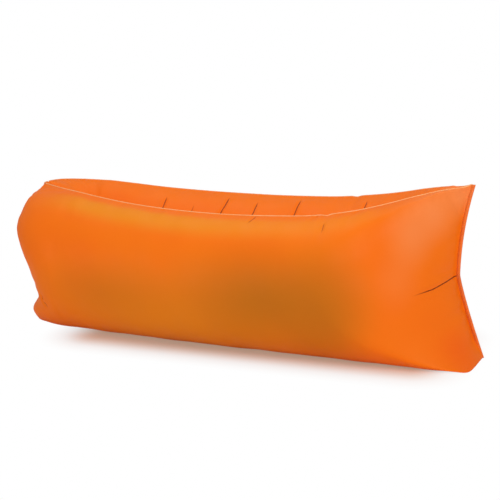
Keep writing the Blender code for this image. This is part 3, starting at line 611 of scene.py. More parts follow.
def waves(place, shortest, longest, count, seed):
    """A sum of seeded waves along a place in metres, from about -1 to 1."""
    draw = np.random.default_rng(seed)
    total = np.zeros_like(place)
    for _ in range(count):
        length = draw.uniform(shortest, longest)
        total += draw.uniform(0.6, 1.0) * np.sin(2 * np.pi * place / length + draw.uniform(0, 6.28))
    return total / math.sqrt(count)


def beside(distance, peak):
    """A bump that starts at 0 on a seam, is 1 at its peak and fades out."""
    share = np.maximum(distance, 0) / peak
    return share * np.exp(1 - share)


def near_line(points, normals, line):
    """Each point's distance from a line of points, its share along it and its side of it."""
    best = np.full(len(points), 1e9)
    place = np.zeros(len(points))
    across = np.ones(len(points))
    line = np.array(line)
    close = np.linalg.norm(points[:, None] - line[None], axis=2).min(axis=1) < NORMAL_REACH
    facing = normals[close].mean(axis=0)
    facing /= np.linalg.norm(facing)
    starts = run_along(line)
    for index, length in enumerate(np.diff(starts)):
        run = (line[index + 1] - line[index]) / length
        t = np.clip((points - line[index]) @ run, 0, length)
        offset = points - (line[index] + t[:, None] * run)
        beside_run = np.cross(run, facing)
        beside_run /= np.linalg.norm(beside_run)
        straight = np.linalg.norm(offset, axis=1)
        level = (t > 0) & (t < length) & (straight < LINE_REACH)
        away = np.where(level, np.abs(offset @ beside_run), straight)
        nearer = away < best
        best[nearer] = away[nearer]
        place[nearer] = (starts[index] + t[nearer]) / starts[-1]
        across[nearer] = np.where(offset @ beside_run < 0, -1, 1)[nearer]
    return best, place, across


def cloth_moves(points, measures, seed):
    """Puckers and folds at the seams, and soft unevenness between them."""
    rim_m, seam_m, mouth_m, along_m, inner = measures
    _, y, z = points.T
    free = np.clip((seam_m - 0.02) / 0.05, 0, 1)
    calm = 0.55 + 0.45 * waves(along_m, 0.25, 0.6, 3, seed)
    move = RIM_PUCKER * calm * free * beside(rim_m, 0.014) * waves(along_m, 0.028, 0.05, 6, seed + 1)
    move += RIM_FOLD * free * beside(rim_m, 0.045) * waves(along_m, 0.07, 0.16, 5, seed + 2)
    height = z + 0.25 * np.abs(y)
    move += END_PUCKER * beside(seam_m, 0.035) * waves(height, 0.035, 0.07, 6, seed + 3)
    move += END_FOLD * beside(seam_m, 0.10) * waves(height, 0.08, 0.17, 4, seed + 4)
    turn = np.arctan2(z - RECESS_HEIGHT, np.abs(y) + 0.02)
    fold = waves(turn * 0.2, 0.02, 0.05, 6, seed + 5)
    move += np.where(inner < 0.5, MOUTH_FOLD * beside(mouth_m, 0.05) * fold, 0)
    broad = waves(along_m, 0.22, 0.5, 4, seed + 6) * waves(rim_m, 0.3, 0.7, 3, seed + 7)
    slant = waves(along_m + 0.6 * rim_m, 0.12, 0.25, 4, seed + 8)
    return move + (BROAD_SWELL * broad + SLANT_SWELL * slant) * free * np.clip(rim_m / 0.06, 0, 1)


def pucker(chamber, side, creases, seed):
    """Move the cloth along its normals, and keep each point's place beside a crease and its painted crease
    shade.
    """
    mesh = chamber.data
    points = coordinates(mesh)
    normals = np.empty(len(points) * 3, np.float32)
    mesh.vertex_normals.foreach_get("vector", normals)
    normals = normals.reshape(-1, 3).astype(float)
    measures = [values(mesh, label) for label in FLOAT_NAMES]
    move = cloth_moves(points, measures, seed)
    line_m = np.full(len(points), 1.0)
    crease_painted_shade = np.zeros(len(points))
    found = [near_line(points, normals, crease[0]) for crease in creases]
    for away, _, _ in found:
        move *= 1 - 0.9 * np.exp(-((away / CALM_REACH) ** 2))
    for crease, (away, place, across) in zip(creases, found):
        _, depth, half_width, crease_shade_darkness, fade_in, fade_out = crease
        ends = np.clip(np.minimum(place / fade_in, (1 - place) / fade_out), 0, 1)
        ends = ends * ends * (3 - 2 * ends)
        share = away / half_width
        move -= depth * ends * np.exp(-share**2)
        move += 0.45 * depth * ends * np.exp(-((share - 2.2) / 1.2) ** 2)
        nearest = away < np.abs(line_m)
        line_m[nearest] = (away * across)[nearest]
        near = np.clip((FIELD_REACH - away) / (FIELD_REACH / 2), 0, 1)
        crease_painted_shade[nearest] = (crease_shade_darkness * ends * near)[nearest]
    move *= np.clip((values(mesh, "seam_m") - 0.012) / 0.01, 0, 1)
    points += normals * move[:, None]
    points[:, 1] = side * np.maximum(side * points[:, 1], POINT_APART)
    points[:, 2] = np.maximum(points[:, 2], 0)
    set_coordinates(mesh, points)
    add_values(mesh, "line_m", np.clip(line_m, -FIELD_REACH, FIELD_REACH))
    add_values(mesh, "crease_painted_shade", crease_painted_shade)
    mesh.shade_smooth()
    most = round(float(np.abs(move).max()) * 1000, 1)
    print(chamber.name, len(mesh.polygons), "faces, moved by", most, "mm")


for chamber, side in CHAMBERS:
    refined(chamber)
    pucker(chamber, side, NEAR_CREASES if side < 0 else FAR_CREASES, SEED + 100 * (side + 2))
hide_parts("near_outer_panel", "near_inner_panel")
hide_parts("far_outer_panel", "far_inner_panel")
for chamber, side in CHAMBERS:
    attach(chamber, "lounger")

# %% [markdown]
# ## Seams and stitches
#
# Along each rim the two panels are rolled into a thin seam and sewn. The sewn end has a
# folded tape over all the layers, and a fin joins the chambers along the floor.

# %% Seam helpers
RIM_SEAM_RADIUS = 0.0019
RIM_SEAM_APART = 0.0021
RIM_SEAM_STEP = 0.006
STITCH_LENGTH = 0.0028
STITCH_STEP = 0.0040
STITCH_RADIUS = 0.00045
STITCH_LIFT = STITCH_RADIUS / 3


def finished(name, bm, body="lounger", replaces=()):
    """A bmesh as a smooth finished piece that rides on a body of the frame."""
    bmesh.ops.recalc_face_normals(bm, faces=bm.faces)
    mesh = bpy.data.meshes.new(name)
    bm.to_mesh(mesh)
    bm.free()
    mesh.shade_smooth()
    made = linked(name, mesh)
    if body:
        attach(made, body)
    if replaces:
        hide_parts(*replaces)
    return made


def add_skin(bm, rings):
    """Faces between rings of points. A ring goes out along one face, back along the other."""
    count = len(rings[0])
    for first, second in zip(rings, rings[1:]):
        for index in range(count):
            after = (index + 1) % count
            bm.faces.new((first[index], first[after], second[after], second[index]))
    for ring in (rings[0], rings[-1]):
        for index in range(count // 2 - 1):
            bm.faces.new((ring[index], ring[index + 1], ring[-2 - index], ring[-1 - index]))


def add_tube(bm, frames, outline):
    """Sweep an outline through frames."""
    add_skin(bm, [[bm.verts.new(origin + a * sideways + b * up) for a, b in outline]
                  for origin, sideways, up in frames])


def run_frames(points):
    """A frame at each point of a line: sideways, then up, both across its run."""
    frames = []
    for index, point in enumerate(points):
        run = points[min(index + 1, len(points) - 1)] - points[max(index - 1, 0)]
        sideways = run.cross(Vector((0, 0, 1))).normalized()
        frames.append((point, sideways, sideways.cross(run).normalized()))
    return frames


def circle(radius, count):
    """A round outline."""
    angles = [2 * math.pi * (index + 0.5) / count for index in range(count)]
    return [(radius * math.cos(a), radius * math.sin(a)) for a in angles]


def add_stitch(bm, middle, run):
    """One thread stitch, thick in the middle and thin at its two ends."""
    start = middle - run * STITCH_LENGTH / 2
    end = middle + run * STITCH_LENGTH / 2
    side = run.cross(Vector((0.3, 0.2, 1))).normalized()
    up = side.cross(run).normalized()
    frames = [(start.lerp(end, t), side * grown, up * grown)
              for t, grown in ((0, 0.45), (0.25, 1), (0.75, 1), (1, 0.45))]
    add_tube(bm, frames, circle(STITCH_RADIUS, 6))


def resampled(points, step):
    """Points of a line at even steps."""
    points = np.array(points)
    run = run_along(points)
    wanted = np.arange(0, run[-1], step)
    return [Vector([np.interp(s, run, points[:, axis]) for axis in range(3)]) for s in wanted]


# %% Rim seams
def rim_seam(label, side):
    """The rolled seam along one rim, with a row of stitches on its outer side."""
    rim_line = GRIDS[side][2:, RIM_ROW]
    line = [Vector((x, side * max(y, RIM_SEAM_APART), z)) for x, y, z in rim_line]
    line = resampled(line, RIM_SEAM_STEP)
    bm = bmesh.new()
    swollen = 1 + 0.10 * waves(np.arange(len(line)) * RIM_SEAM_STEP, 0.02, 0.05, 4, SEED + side)
    frames = [(p, s * float(g), u * float(g)) for (p, s, u), g in zip(run_frames(line), swollen)]
    add_tube(bm, frames, circle(RIM_SEAM_RADIUS, 10))
    seam = finished(f"{label}_rim_seam_cloth", bm, replaces=(f"{label}_rim_seam",))
    bm = bmesh.new()
    dense = resampled(line, STITCH_STEP / 2)
    frames = run_frames(dense)
    for index in range(2, len(dense) - 3, 2):
        point, sideways, up = frames[index]
        raised = (up * 0.75 + sideways * side * -0.66) * (RIM_SEAM_RADIUS + STITCH_LIFT)
        add_stitch(bm, point + raised, (dense[index + 1] - point).normalized())
    return seam, finished(f"{label}_rim_stitches", bm)


near_rim, near_rim_stitches = rim_seam("near", -1)
far_rim, far_rim_stitches = rim_seam("far", 1)
print("rim stitches:", len(near_rim_stitches.data.polygons), "faces a side")

# %% End binding and spine fin
BINDING_WIDTH = 0.010
BINDING_WALL = 0.0009
BINDING_ROOM = OUTER_BASE + 0.0004
BINDING_ROUND = 0.0010
BINDING_FOLD = 0.0006
BINDING_FOOT = 0.0012
BINDING_STEPS = 150
STITCH_ROWS = (-0.0024, -0.0078)
FIN_HALF_WALL = 0.0006
FIN_HALF_HEIGHT = 0.006
FIN_MIDDLE = 0.0066
FIN_STEPS = 180
FIN_INSET = 0.03


def end_binding():
    """A folded tape round the edge of all the layers at the sewn end, with two stitch rows."""
    room = BINDING_ROOM
    half = room + BINDING_WALL
    back = SEAM_BACK
    outside = ((-BINDING_WIDTH, -half), (back - BINDING_ROUND, -half), (back, -half + BINDING_ROUND))
    inside = ((-BINDING_WIDTH, room), (BINDING_FOLD, room), (BINDING_ROUND, room - BINDING_FOLD))
    outline = [*outside, *((x, -y) for x, y in outside[::-1])]
    outline += [*inside, *((x, -y) for x, y in inside[::-1])]
    bm = bmesh.new()
    heights = [BINDING_FOOT + (SEAM_TOP - BINDING_FOOT) * step / BINDING_STEPS
               for step in range(BINDING_STEPS + 1)]
    wobble = 0.0004 * waves(np.array(heights), 0.03, 0.08, 4, SEED + 40)
    frames = [(Vector((seam_x(h), float(w), h)), Vector((1, 0, 0)), Vector((0, 1, 0)))
              for h, w in zip(heights, wobble)]
    add_tube(bm, frames, outline)
    tape = finished("end_binding_tape", bm, replaces=("sewn_end_binding",))
    bm = bmesh.new()
    for row in STITCH_ROWS:
        line = resampled([(seam_x(h) + row, 0, h) for h in heights], STITCH_STEP)
        for first, second in zip(line[1:-1], line[2:]):
            for face in (-1, 1):
                middle = first + Vector((0, face * (half + STITCH_LIFT), 0))
                add_stitch(bm, middle, (second - first).normalized())
    return tape, finished("end_stitches", bm)


def spine_fin():
    """The sewn fin between the chambers, a little wavy, on the floor line."""
    bm = bmesh.new()
    xs = np.linspace(MOUTH_X + EAR_INSET + FIN_INSET, FOOT_X - FIN_INSET, FIN_STEPS)
    sway = 0.0002 * waves(xs, 0.04, 0.09, 4, SEED + 50)
    frames = [(Vector((x, float(s), FIN_MIDDLE)), Vector((0, 1, 0)), Vector((0, 0, 1)))
              for x, s in zip(xs, sway)]
    add_tube(bm, frames, [(side * FIN_HALF_WALL, up * FIN_HALF_HEIGHT)
                          for side, up in ((-1, -1), (1, -1), (1, 1), (-1, 1))])
    return finished("spine_fin", bm, replaces=("spine_seam",))


binding, end_stitches = end_binding()
spine = spine_fin()
print("end binding", len(binding.data.polygons), "faces")

# %% [markdown]
# ## The mouth
#
# Behind the ring the cloth of both chambers is gathered into radial pleats. The mouth itself
# is rolled round two flat strips, the roll is bent to a ring, and webbing loops at its two
# ends hold the buckle.

# %% Gather, roll and webbing
GATHER_HALF_WIDTH = 0.125
GATHER_HALF_HEIGHT = 0.175
GATHER_AROUND = 288
GATHER_STEPS = 40
GATHER_BACK = 0.0020
GATHER_RISE = 0.0105
GATHER_SINK = 0.030
GATHER_HEART = 0.034
GATHER_WALL = 0.0008
PLEATS = 26
PLEAT_DEPTH = 0.0065
FINE_PLEATS = 61
FINE_DEPTH = 0.0012
RING_X = -0.8141
RING_RADIUS = 0.085
RING_END = 0.050
RING_STEPS = 70
RING_STEP_M = 0.0038
ROLL_HALF_WIDTH = 0.0120
ROLL_HALF_DEPTH = 0.00135
ROLL_PITCH = 0.0026
ROLL_LAYER = 0.0018
ROLL_TURNS = 2
TURN_STEPS = 40
WEBBING_WIDTH = 0.025
WEBBING_THICKNESS = 0.0013
WEBBING_ROUND = 0.00245
WEBBING_EDGE = 0.00025
SOCKET_BAR_Z = 0.260
SOCKET_END_Z = 0.2503
PLUG_BAR_Z = 0.3163
PLUG_END_Z = 0.3497


def mouth_gather():
    """Pleated cloth from the recess's edge to its heart, which lies deeper."""
    bm = bmesh.new()
    draw = np.random.default_rng(SEED + 60)
    turns = np.arange(GATHER_AROUND) * 2 * np.pi / GATHER_AROUND
    sharp = 0.5 + 0.5 * np.cos(PLEATS * turns + 0.6 * np.sin(3 * turns) + draw.uniform(0, 6))
    sharp = sharp**1.6 * (0.75 + 0.25 * np.sin(5 * turns + 1.3))
    fine = 0.5 + 0.5 * np.cos(FINE_PLEATS * turns + 1.1 * np.sin(4 * turns))
    loops = []
    for step in range(GATHER_STEPS + 1):
        t = step / GATHER_STEPS
        share = 1 - 0.93 * t
        rise = math.exp(-((t - 0.27) / 0.16) ** 2)
        sink = 1 / (1 + math.exp(-(t - 0.52) / 0.06))
        x = RECESS_X + GATHER_BACK - GATHER_RISE * rise + GATHER_SINK * sink
        deep = PLEAT_DEPTH * math.sin(math.pi * min(1.0, t / 0.9)) ** 0.6
        loop = []
        for index, angle in enumerate(turns):
            fold = deep * sharp[index] + FINE_DEPTH * math.sin(math.pi * t) * fine[index]
            swirl = angle + 0.05 * t * math.sin(3 * angle)
            loop.append(bm.verts.new((x + fold * (1 if t > 0.27 else 0.5),
                                      share * GATHER_HALF_WIDTH * math.cos(swirl),
                                      RECESS_HEIGHT + share * GATHER_HALF_HEIGHT * math.sin(swirl))))
        loops.append(loop)
    centre = bm.verts.new((RECESS_X + GATHER_HEART, 0, RECESS_HEIGHT))
    for outer, inner in zip(loops, loops[1:]):
        for index in range(GATHER_AROUND):
            after = (index + 1) % GATHER_AROUND
            bm.faces.new((outer[index], inner[index], inner[after], outer[after]))
    for index in range(GATHER_AROUND):
        bm.faces.new((loops[-1][index], centre, loops[-1][(index + 1) % GATHER_AROUND]))
    bmesh.ops.recalc_face_normals(bm, faces=bm.faces)
    if sum(face.normal.x for face in bm.faces) > 0:
        bmesh.ops.reverse_faces(bm, faces=bm.faces)
    bmesh.ops.solidify(bm, geom=bm.faces[:], thickness=GATHER_WALL)
    return finished("gathered_mouth_cloth", bm, replaces=("mouth_gather",))


def ring_frames(steps):
    """Frames round the ring from the far side's upper end, over the top, to its lower end."""
    frames = []
    for middle, start in ((RING_END, 0.0), (-RING_END, math.pi)):
        for step in range(steps + 1):
            angle = start + math.pi * step / steps
            out = Vector((0, math.cos(angle), math.sin(angle)))
            centre = Vector((RING_X, 0, RECESS_HEIGHT + middle))
            frames.append((centre + out * RING_RADIUS, out, Vector((1, 0, 0))))
        if middle > 0:
            side = Vector((0, -1, 0))
            for step in range(1, steps // 3):
                z = RECESS_HEIGHT + RING_END - 2 * RING_END * step / (steps // 3)
                frames.append((Vector((RING_X, -RING_RADIUS, z)), side, Vector((1, 0, 0))))
    return frames


def rolled_cloth():
    """The mouth's cloth, rolled two turns round the strips, slightly uneven along the ring."""
    frames = ring_frames(RING_STEPS)
    run = np.arange(len(frames)) * RING_STEP_M
    swell = waves(run, 0.03, 0.09, 5, SEED + 70)
    twist = waves(run, 0.08, 0.20, 3, SEED + 71)
    bm = bmesh.new()
    rings = []
    for number, (origin, out, back) in enumerate(frames):
        inside, outside = [], []
        for step in range(ROLL_TURNS * TURN_STEPS + 1):
            turns = step / TURN_STEPS
            angle = 2 * math.pi * turns
            a, b = math.cos(angle), math.sin(angle)
            a = math.copysign(abs(a) ** 0.55, a)
            b = math.copysign(abs(b) ** 0.6, b)
            soft = 0.0005 * swell[number] * math.sin(3 * angle + twist[number])
            grown = turns * ROLL_PITCH + max(-0.0002, soft) * turns / 2
            for face, layer in ((inside, 0.0), (outside, ROLL_LAYER)):
                face.append(((ROLL_HALF_WIDTH + grown + layer) * a, (ROLL_HALF_DEPTH + grown + layer) * b))
        rings.append([bm.verts.new(origin + out * a + back * b) for a, b in inside + outside[::-1]])
    add_skin(bm, rings)
    return finished("rolled_mouth_cloth", bm, replaces=("rolled_mouth",))


def webbing_loop(name, bar_z, end_z, body, replaces):
    """A woven loop round a buckle bar, its two ends sewn together at the roll."""
    turn = math.copysign(1.0, bar_z - end_z)
    angles = [math.pi * step / 24 for step in range(25)]
    legs = 14
    leg = [end_z + (bar_z - end_z) * step / legs for step in range(legs)]
    outline = []
    for radius, order in ((WEBBING_ROUND, 1), (WEBBING_ROUND + WEBBING_THICKNESS, -1)):
        arc = [(radius * math.cos(a), bar_z + turn * radius * math.sin(a)) for a in angles[::order]]
        outline += [(arc[0][0], z) for z in leg] + arc + [(arc[-1][0], z) for z in leg[::-1]]
    half = WEBBING_WIDTH / 2
    offsets = [-half, -half + 0.0004] + list(np.linspace(-half + 0.0015, half - 0.0015, 12))
    offsets += [half - 0.0004, half]
    bm = bmesh.new()
    rings = []
    for number, offset in enumerate(offsets):
        edge = WEBBING_EDGE if number in (0, len(offsets) - 1) else 0.0
        ring = []
        for index, (x, z) in enumerate(outline):
            thin = edge if index < len(outline) // 2 else -edge
            grown = 1 + thin / max(abs(x), 0.001) if abs(x) > 1e-6 else 1
            ring.append(bm.verts.new((RING_X + x * grown, RING_RADIUS + offset, z)))
        rings.append(ring)
    add_skin(bm, rings)
    return finished(name, bm, body, replaces)


gather = mouth_gather()
roll = rolled_cloth()
socket_loop = webbing_loop("socket_webbing_loop", SOCKET_BAR_Z, SOCKET_END_Z, "lounger", ("socket_webbing",))
plug_loop = webbing_loop("plug_webbing_loop", PLUG_BAR_Z, PLUG_END_Z, None, ("plug_webbing",))
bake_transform(plug_loop)
for piece in (gather, roll, socket_loop, plug_loop):
    area = sum(face.area for face in piece.data.polygons) / 2
    print(piece.name, len(piece.data.polygons), "faces, cloth area", round(area, 4), "m2")

# %% [markdown]
# ## Materials
#
# The chambers are satin coated ripstop polyester. Its base colour is one strong orange. Over it
# soft areas are painted light and shade: a painted light band below the rim of each outer
# panel, pale painted highlights at the near sewn end, and painted shade in ochre over the low
# near chamber and the hollow of its belly. Thin lines of painted shade darken the creases, and
# soft areas at the foot's lower corner and at the floor ear are redder. The fine squares of the
# ripstop weave are raised threads in real millimetres.

# %% Material helpers
def node(tree, kind, inputs=None, **settings):
    """Add a node; an input is a value or another node's output."""
    made = tree.nodes.new(kind)
    for key, value in settings.items():
        setattr(made, key, value)
    for key, value in (inputs or {}).items():
        if isinstance(value, bpy.types.NodeSocket):
            tree.links.new(value, made.inputs[key])
        else:
            made.inputs[key].default_value = value
    return made


def new_material(name):
    """An empty node material with its Principled shader and its object coordinates."""
    made = bpy.data.materials.new(name)
    made.use_nodes = True
    tree = made.node_tree
    point = node(tree, "ShaderNodeTexCoord").outputs["Object"]
    return made, tree, tree.nodes["Principled BSDF"], point


def mixed(tree, share, first, second):
    """One colour turned into another by a share."""
    mix = node(tree, "ShaderNodeMix", data_type="RGBA")
    for socket, value in ((mix.inputs[0], share), (mix.inputs[6], first), (mix.inputs[7], second)):
        if isinstance(value, bpy.types.NodeSocket):
            tree.links.new(value, socket)
        else:
            socket.default_value = value
    return mix.outputs[2]


def ramp(tree, value, low, high, out_low=0.0, out_high=1.0):
    """A smooth step of a value between two limits."""
    return node(tree, "ShaderNodeMapRange", {0: value, 1: low, 2: high, 3: out_low, 4: out_high},
                interpolation_type="SMOOTHSTEP").outputs[0]


def fall(tree, value, low, high):
    """A smooth step down, from 1 to 0."""
    return ramp(tree, value, low, high, 1.0, 0.0)


def maths(tree, operation, first, second=0.0):
    """One Math node."""
    return node(tree, "ShaderNodeMath", {0: first, 1: second}, operation=operation).outputs[0]


def vector_maths(tree, operation, first, second=(0.0, 0.0, 0.0)):
    """One Vector Math node. A length comes as a value."""
    made = node(tree, "ShaderNodeVectorMath", {0: first, 1: second}, operation=operation)
    return made.outputs["Value" if operation == "LENGTH" else "Vector"]


def noise(tree, point, scale, detail):
    """A noise value."""
    return node(tree, "ShaderNodeTexNoise", {"Vector": point, "Scale": scale, "Detail": detail}).outputs[0]


def attribute(tree, label):
    """A float that the mesh carries."""
    return node(tree, "ShaderNodeAttribute", attribute_name=label).outputs["Fac"]


def add_bump(tree, shader, height, distance, strength):
    """Raise the surface by a height."""
    bump = node(tree, "ShaderNodeBump", {"Height": height, "Distance": distance, "Strength": strength})
    tree.links.new(bump.outputs[0], shader.inputs["Normal"])


def area_share(tree, point, centre, reach):
    """1 in the middle of a soft ellipsoid, 0 outside it."""
    moved = vector_maths(tree, "SUBTRACT", point, centre)
    scaled = vector_maths(tree, "DIVIDE", moved, reach)
    return fall(tree, vector_maths(tree, "LENGTH", scaled), 0.0, 1.0)


# %% Cloth material
# The lighter orange is a painted light band, the two ochres are painted shade, the pale orange is painted
# highlight and the crease colour is painted shade.
ORANGE = linear("FB7708")
DEEP_ORANGE = linear("FA7206")
PAINTED_LIGHT_ORANGE = linear("F09208")
PAINTED_SHADE_OCHRE = linear("BA6C0A")
PAINTED_LOW_SHADE_OCHRE = linear("E68410")
PAINTED_HIGHLIGHT_ORANGE = linear("FC8C48")
RED_ORANGE = linear("FB6608")
PAINTED_CREASE_SHADE = linear("742A06")
RIPSTOP_M = 0.005
# Each soft area: its centre, its reach, its colour and its strength. The ochre areas are painted
# shade, the pale orange ones painted highlights, and the red-orange ones make the foot's lower
# corner and the floor ear redder.
PAINTED_SHADE_HIGHLIGHT_AND_RED_TINTS = (((-0.15, -0.36, 0.10), (0.95, 0.40, 0.34), PAINTED_LOW_SHADE_OCHRE, 1.0),
         ((-0.42, -0.39, 0.23), (0.42, 0.30, 0.16), PAINTED_SHADE_OCHRE, 0.35),
         ((0.20, -0.40, 0.25), (0.48, 0.30, 0.26), PAINTED_SHADE_OCHRE, 0.85),
         ((0.40, -0.38, 0.20), (0.21, 0.30, 0.36), PAINTED_SHADE_OCHRE, 0.6),
         ((0.625, -0.225, 0.340), (0.10, 0.20, 0.17), PAINTED_HIGHLIGHT_ORANGE, 0.3),
         ((0.720, -0.110, 0.545), (0.13, 0.15, 0.14), PAINTED_HIGHLIGHT_ORANGE, 0.9),
         ((0.655, -0.175, 0.480), (0.12, 0.16, 0.16), PAINTED_HIGHLIGHT_ORANGE, 0.8),
         ((0.800, -0.020, 0.605), (0.16, 0.12, 0.12), PAINTED_HIGHLIGHT_ORANGE, 1.0),
         ((0.83, -0.111, 0.055), (0.20, 0.16, 0.12), RED_ORANGE, 0.7),
         ((-0.86, -0.120, 0.050), (0.14, 0.16, 0.12), RED_ORANGE, 0.7))


def coated_cloth():
    """Coated ripstop polyester: orange with painted light, painted highlights and painted shade."""
    made, tree, shader, point = new_material("coated_ripstop_polyester")
    colour = mixed(tree, ramp(tree, noise(tree, point, 3.0, 2.0), 0.35, 0.7), ORANGE, DEEP_ORANGE)
    for centre, reach, tint, strength in PAINTED_SHADE_HIGHLIGHT_AND_RED_TINTS:
        share = area_share(tree, point, centre, reach)
        colour = mixed(tree, maths(tree, "MULTIPLY", share, strength), colour, tint)
    x = node(tree, "ShaderNodeSeparateXYZ", {0: point}).outputs[0]
    rim_m = attribute(tree, "rim_m")
    # Painted light: a lighter band from about 2 to 16 cm below the rim of the outer panel.
    painted_light_band = ramp(tree, rim_m, 0.02, 0.06)
    for share in (fall(tree, rim_m, 0.085, 0.16), fall(tree, attribute(tree, "inner"), 0.2, 0.8),
                  ramp(tree, x, -0.3, 0.5, 0.7, 0.3), fall(tree, x, 0.45, 0.66),
                  ramp(tree, x, -0.85, -0.55)):
        painted_light_band = maths(tree, "MULTIPLY", painted_light_band, share)
    colour = mixed(tree, painted_light_band, colour, PAINTED_LIGHT_ORANGE)
    # Painted shade: the creases are darkened in thin lines.
    line_m = maths(tree, "ABSOLUTE", attribute(tree, "line_m"))
    ends = attribute(tree, "crease_painted_shade")
    painted_crease_shade = maths(tree, "MULTIPLY", fall(tree, line_m, 0.0004, 0.0034), ends)
    colour = mixed(tree, painted_crease_shade, colour, PAINTED_CREASE_SHADE)
    tree.links.new(colour, shader.inputs["Base Color"])
    cloth_m = node(tree, "ShaderNodeUVMap", uv_map="cloth_m").outputs[0]
    squares = vector_maths(tree, "MULTIPLY", cloth_m, (1 / RIPSTOP_M,) * 3)
    parts = node(tree, "ShaderNodeSeparateXYZ", {0: vector_maths(tree, "FRACTION", squares)})
    threads = [ramp(tree, maths(tree, "ABSOLUTE", maths(tree, "SUBTRACT", part, 0.5)), 0.42, 0.5)
               for part in parts.outputs[:2]]
    weave = maths(tree, "MULTIPLY", noise(tree, cloth_m, 900.0, 1.0), 0.35)
    height = maths(tree, "ADD", maths(tree, "MAXIMUM", *threads), weave)
    add_bump(tree, shader, height, 0.0001, 0.35)
    gloss = ramp(tree, noise(tree, point, 14.0, 3.0), 0.3, 0.7, 0.46, 0.56)
    tree.links.new(gloss, shader.inputs["Roughness"])
    shader.inputs["Specular IOR Level"].default_value = 0.14
    return made


# %% Thread, webbing and plastics
def mottled(name, colours, patches, roughness, grain=None, sheen=0.0):
    """Two close colours in patches (scale, detail, low, high), over a grain."""
    made, tree, shader, point = new_material(name)
    scale, detail, low, high = patches
    share = ramp(tree, noise(tree, point, scale, detail), low, high)
    tree.links.new(mixed(tree, share, *map(linear, colours)), shader.inputs["Base Color"])
    if grain:
        scale, detail, distance, strength = grain
        add_bump(tree, shader, noise(tree, point, scale, detail), distance, strength)
    shader.inputs["Roughness"].default_value = roughness
    shader.inputs["Sheen Weight"].default_value = sheen
    return made


def webbing():
    """Black woven polypropylene webbing: rows of yarn across its width."""
    made, tree, shader, point = new_material("woven_polypropylene_webbing")
    rows = node(tree, "ShaderNodeTexWave", {"Vector": point, "Scale": 160.0, "Distortion": 0.4},
                bands_direction="Z")
    ribs = node(tree, "ShaderNodeTexWave", {"Vector": point, "Scale": 110.0, "Distortion": 0.3},
                bands_direction="Y")
    woven = maths(tree, "MULTIPLY", rows.outputs["Fac"], ribs.outputs["Fac"])
    tree.links.new(mixed(tree, woven, linear("121214"), linear("2A2A2D")), shader.inputs["Base Color"])
    add_bump(tree, shader, woven, 0.0003, 0.8)
    shader.inputs["Roughness"].default_value = 0.75
    shader.inputs["Sheen Weight"].default_value = 0.2
    return made


PLASTIC_PATCHES = (1500.0, 2.0, 0.35, 0.65)
PLASTIC_GRAIN = (1500.0, 2.0, 0.0001, 0.25)
CLOTH = coated_cloth()
THREAD = mottled("polyester_sewing_thread", ("F8A14A", "FBB869"), (2200.0, 1.0, 0.3, 0.7), 0.55, sheen=0.3)
SEAM = mottled("coated_polyester_seam_tape", ("FBAE62", "FCBC7C"), (45.0, 3.0, 0.3, 0.7), 0.45,
               grain=(420.0, 2.0, 0.0004, 0.4))
FOLDS = mottled("coated_polyester_folds", ("FB7708", "EE6E1A"), (22.0, 3.0, 0.3, 0.7), 0.42,
                grain=(1100.0, 1.0, 0.0001, 0.4), sheen=0.1)
WEBBING = webbing()
BLACK_PLASTIC = mottled("moulded_acetal", ("141416", "1A1A1C"), PLASTIC_PATCHES, 0.38, PLASTIC_GRAIN)
STRIP_PLASTIC = mottled("polyethylene_strip", ("D6D6D2", "DEDEDA"), PLASTIC_PATCHES, 0.42, PLASTIC_GRAIN)
BUCKLE = ("buckle_socket", "buckle_plug", "inner_spring_arm", "outer_spring_arm")
STRIPS = ("front_mouth_strip", "back_mouth_strip")

for finish, pieces in ((CLOTH, (near_chamber, far_chamber)),
                       (SEAM, (near_rim, far_rim)),
                       (THREAD, (near_rim_stitches, far_rim_stitches, end_stitches)),
                       (FOLDS, (gather, roll, spine, binding)),
                       (WEBBING, (socket_loop, plug_loop)),
                       (BLACK_PLASTIC, [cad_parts[name] for name in BUCKLE]),
                       (STRIP_PLASTIC, [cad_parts[name] for name in STRIPS])):
    for piece in pieces:
        piece.data.materials.clear()
        piece.data.materials.append(finish)
print(len(bpy.data.materials), "materials")

# %% [markdown]
# ## What each soft piece is
#
# The gather and the roll are the open end of the sack. The sack is about 0.62 m across
# when it is laid flat, which is also the length of the roll.

# %% [markdown]
# ## Light, floor and camera
#
# Three wide soft lamps, at the front right, above, and at the front left, make the soft
# shading of the photo. Beside the lounger the floor shows its shadow, partly real and partly a
# painted warm shadow tone that fades out; further out the camera sees pure white.

# %% Floor and backdrop
FLOOR_SIZE = 60.0
FLOOR_DROP = 0.0004
SHADOW_CENTRE = (0.06, 0.0, 0.0)
SHADOW_HALF = (0.61, 0.22, 0.0)
SHADOW_FADE = 0.25
PAINTED_SHADOW_FADE = 0.15
SHADOW_LIGHT = 0.44
WHITE = (1.0, 1.0, 1.0, 1.0)
WORLD_LIGHT = 0.45


def light_path_mix(tree, share, lit, seen, output):
    """A shader for the lamps' light, and another, by a share, for what the camera sees."""
    camera_ray = node(tree, "ShaderNodeLightPath").outputs["Is Camera Ray"]
    share = maths(tree, "MULTIPLY", share, camera_ray)
    mix = node(tree, "ShaderNodeMixShader", {0: share, 1: lit.outputs[0], 2: seen.outputs[0]})
    tree.links.new(mix.outputs[0], tree.nodes[output].inputs["Surface"])


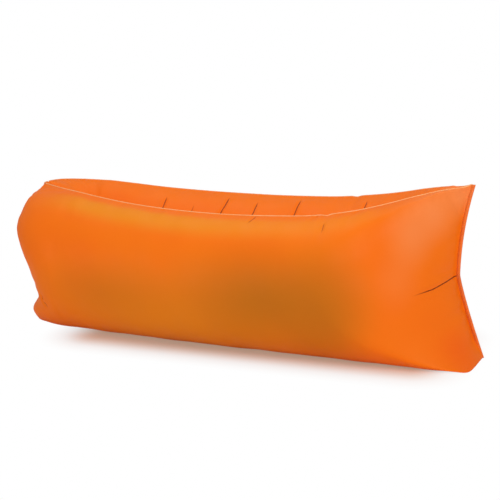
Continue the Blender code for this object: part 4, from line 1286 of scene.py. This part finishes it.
def white_floor():
    """A pale floor with its real shadow under a painted warm shadow tone."""
    bm = bmesh.new()
    bmesh.ops.create_grid(bm, x_segments=2, y_segments=2, size=FLOOR_SIZE / 2)
    mesh = bpy.data.meshes.new("floor")
    bm.to_mesh(mesh)
    bm.free()
    floor = linked("floor", mesh)
    floor.location.z = -FLOOR_DROP
    made, tree, shader, point = new_material("matt_paper_floor")
    shader.inputs["Base Color"].default_value = linear("F6E9E2")
    shader.inputs["Roughness"].default_value = 0.9
    folded = vector_maths(tree, "ABSOLUTE", vector_maths(tree, "SUBTRACT", point, SHADOW_CENTRE))
    past = vector_maths(tree, "MAXIMUM", vector_maths(tree, "SUBTRACT", folded, SHADOW_HALF))
    away = vector_maths(tree, "LENGTH", past)
    fade = ramp(tree, away, 0.0, SHADOW_FADE, SHADOW_LIGHT, 1.0)
    # Painted shadow: the camera sees a warm tone near the lounger, fading to white further out.
    painted_shadow_tone = mixed(tree, ramp(tree, away, 0.0, PAINTED_SHADOW_FADE), linear("E7C4AA"), WHITE)
    seen = node(tree, "ShaderNodeEmission", {"Color": painted_shadow_tone, "Strength": 1.0})
    light_path_mix(tree, fade, shader, seen, "Material Output")
    mesh.materials.append(made)


def white_world():
    """A soft grey world for the light, and a white one for the camera."""
    world = bpy.data.worlds.new("studio")
    bpy.context.scene.world = world
    world.use_nodes = True
    tree = world.node_tree
    lit = tree.nodes["Background"]
    lit.inputs["Color"].default_value = WHITE
    lit.inputs["Strength"].default_value = WORLD_LIGHT
    seen = node(tree, "ShaderNodeBackground", {"Color": WHITE, "Strength": 1.0})
    light_path_mix(tree, 1.0, lit, seen, "World Output")


def lamp(name, place, target, size, energy):
    """A soft square light that faces a point."""
    data = bpy.data.lights.new(name, "AREA")
    data.shape = "SQUARE"
    data.size = size
    data.energy = energy
    made = linked(name, data)
    made.location = place
    made.rotation_euler = (Vector(target) - Vector(place)).to_track_quat("-Z", "Y").to_euler()


white_floor()
white_world()
lamp("key_light", (2.4, -2.2, 2.2), (0.2, -0.05, 0.3), 2.4, 46)
lamp("top_light", (-0.6, 0.2, 3.0), (0.0, 0.0, 0.4), 2.2, 25)
lamp("front_fill", (-2.3, -4.0, 1.0), (-0.2, -0.2, 0.2), 2.6, 32)

# %% Camera
camera_data = bpy.data.cameras.new("camera")
camera_data.lens = 86.4
camera_data.sensor_width = 36.0
camera = linked("camera", camera_data)
camera.location = (1.533, -4.24, 1.32)
camera.rotation_euler = (math.radians(77.7), 0.0, math.radians(20.0))
bpy.context.scene.camera = camera
bpy.context.scene.view_settings.view_transform = "Standard"
print("camera", [round(v, 3) for v in camera.location])
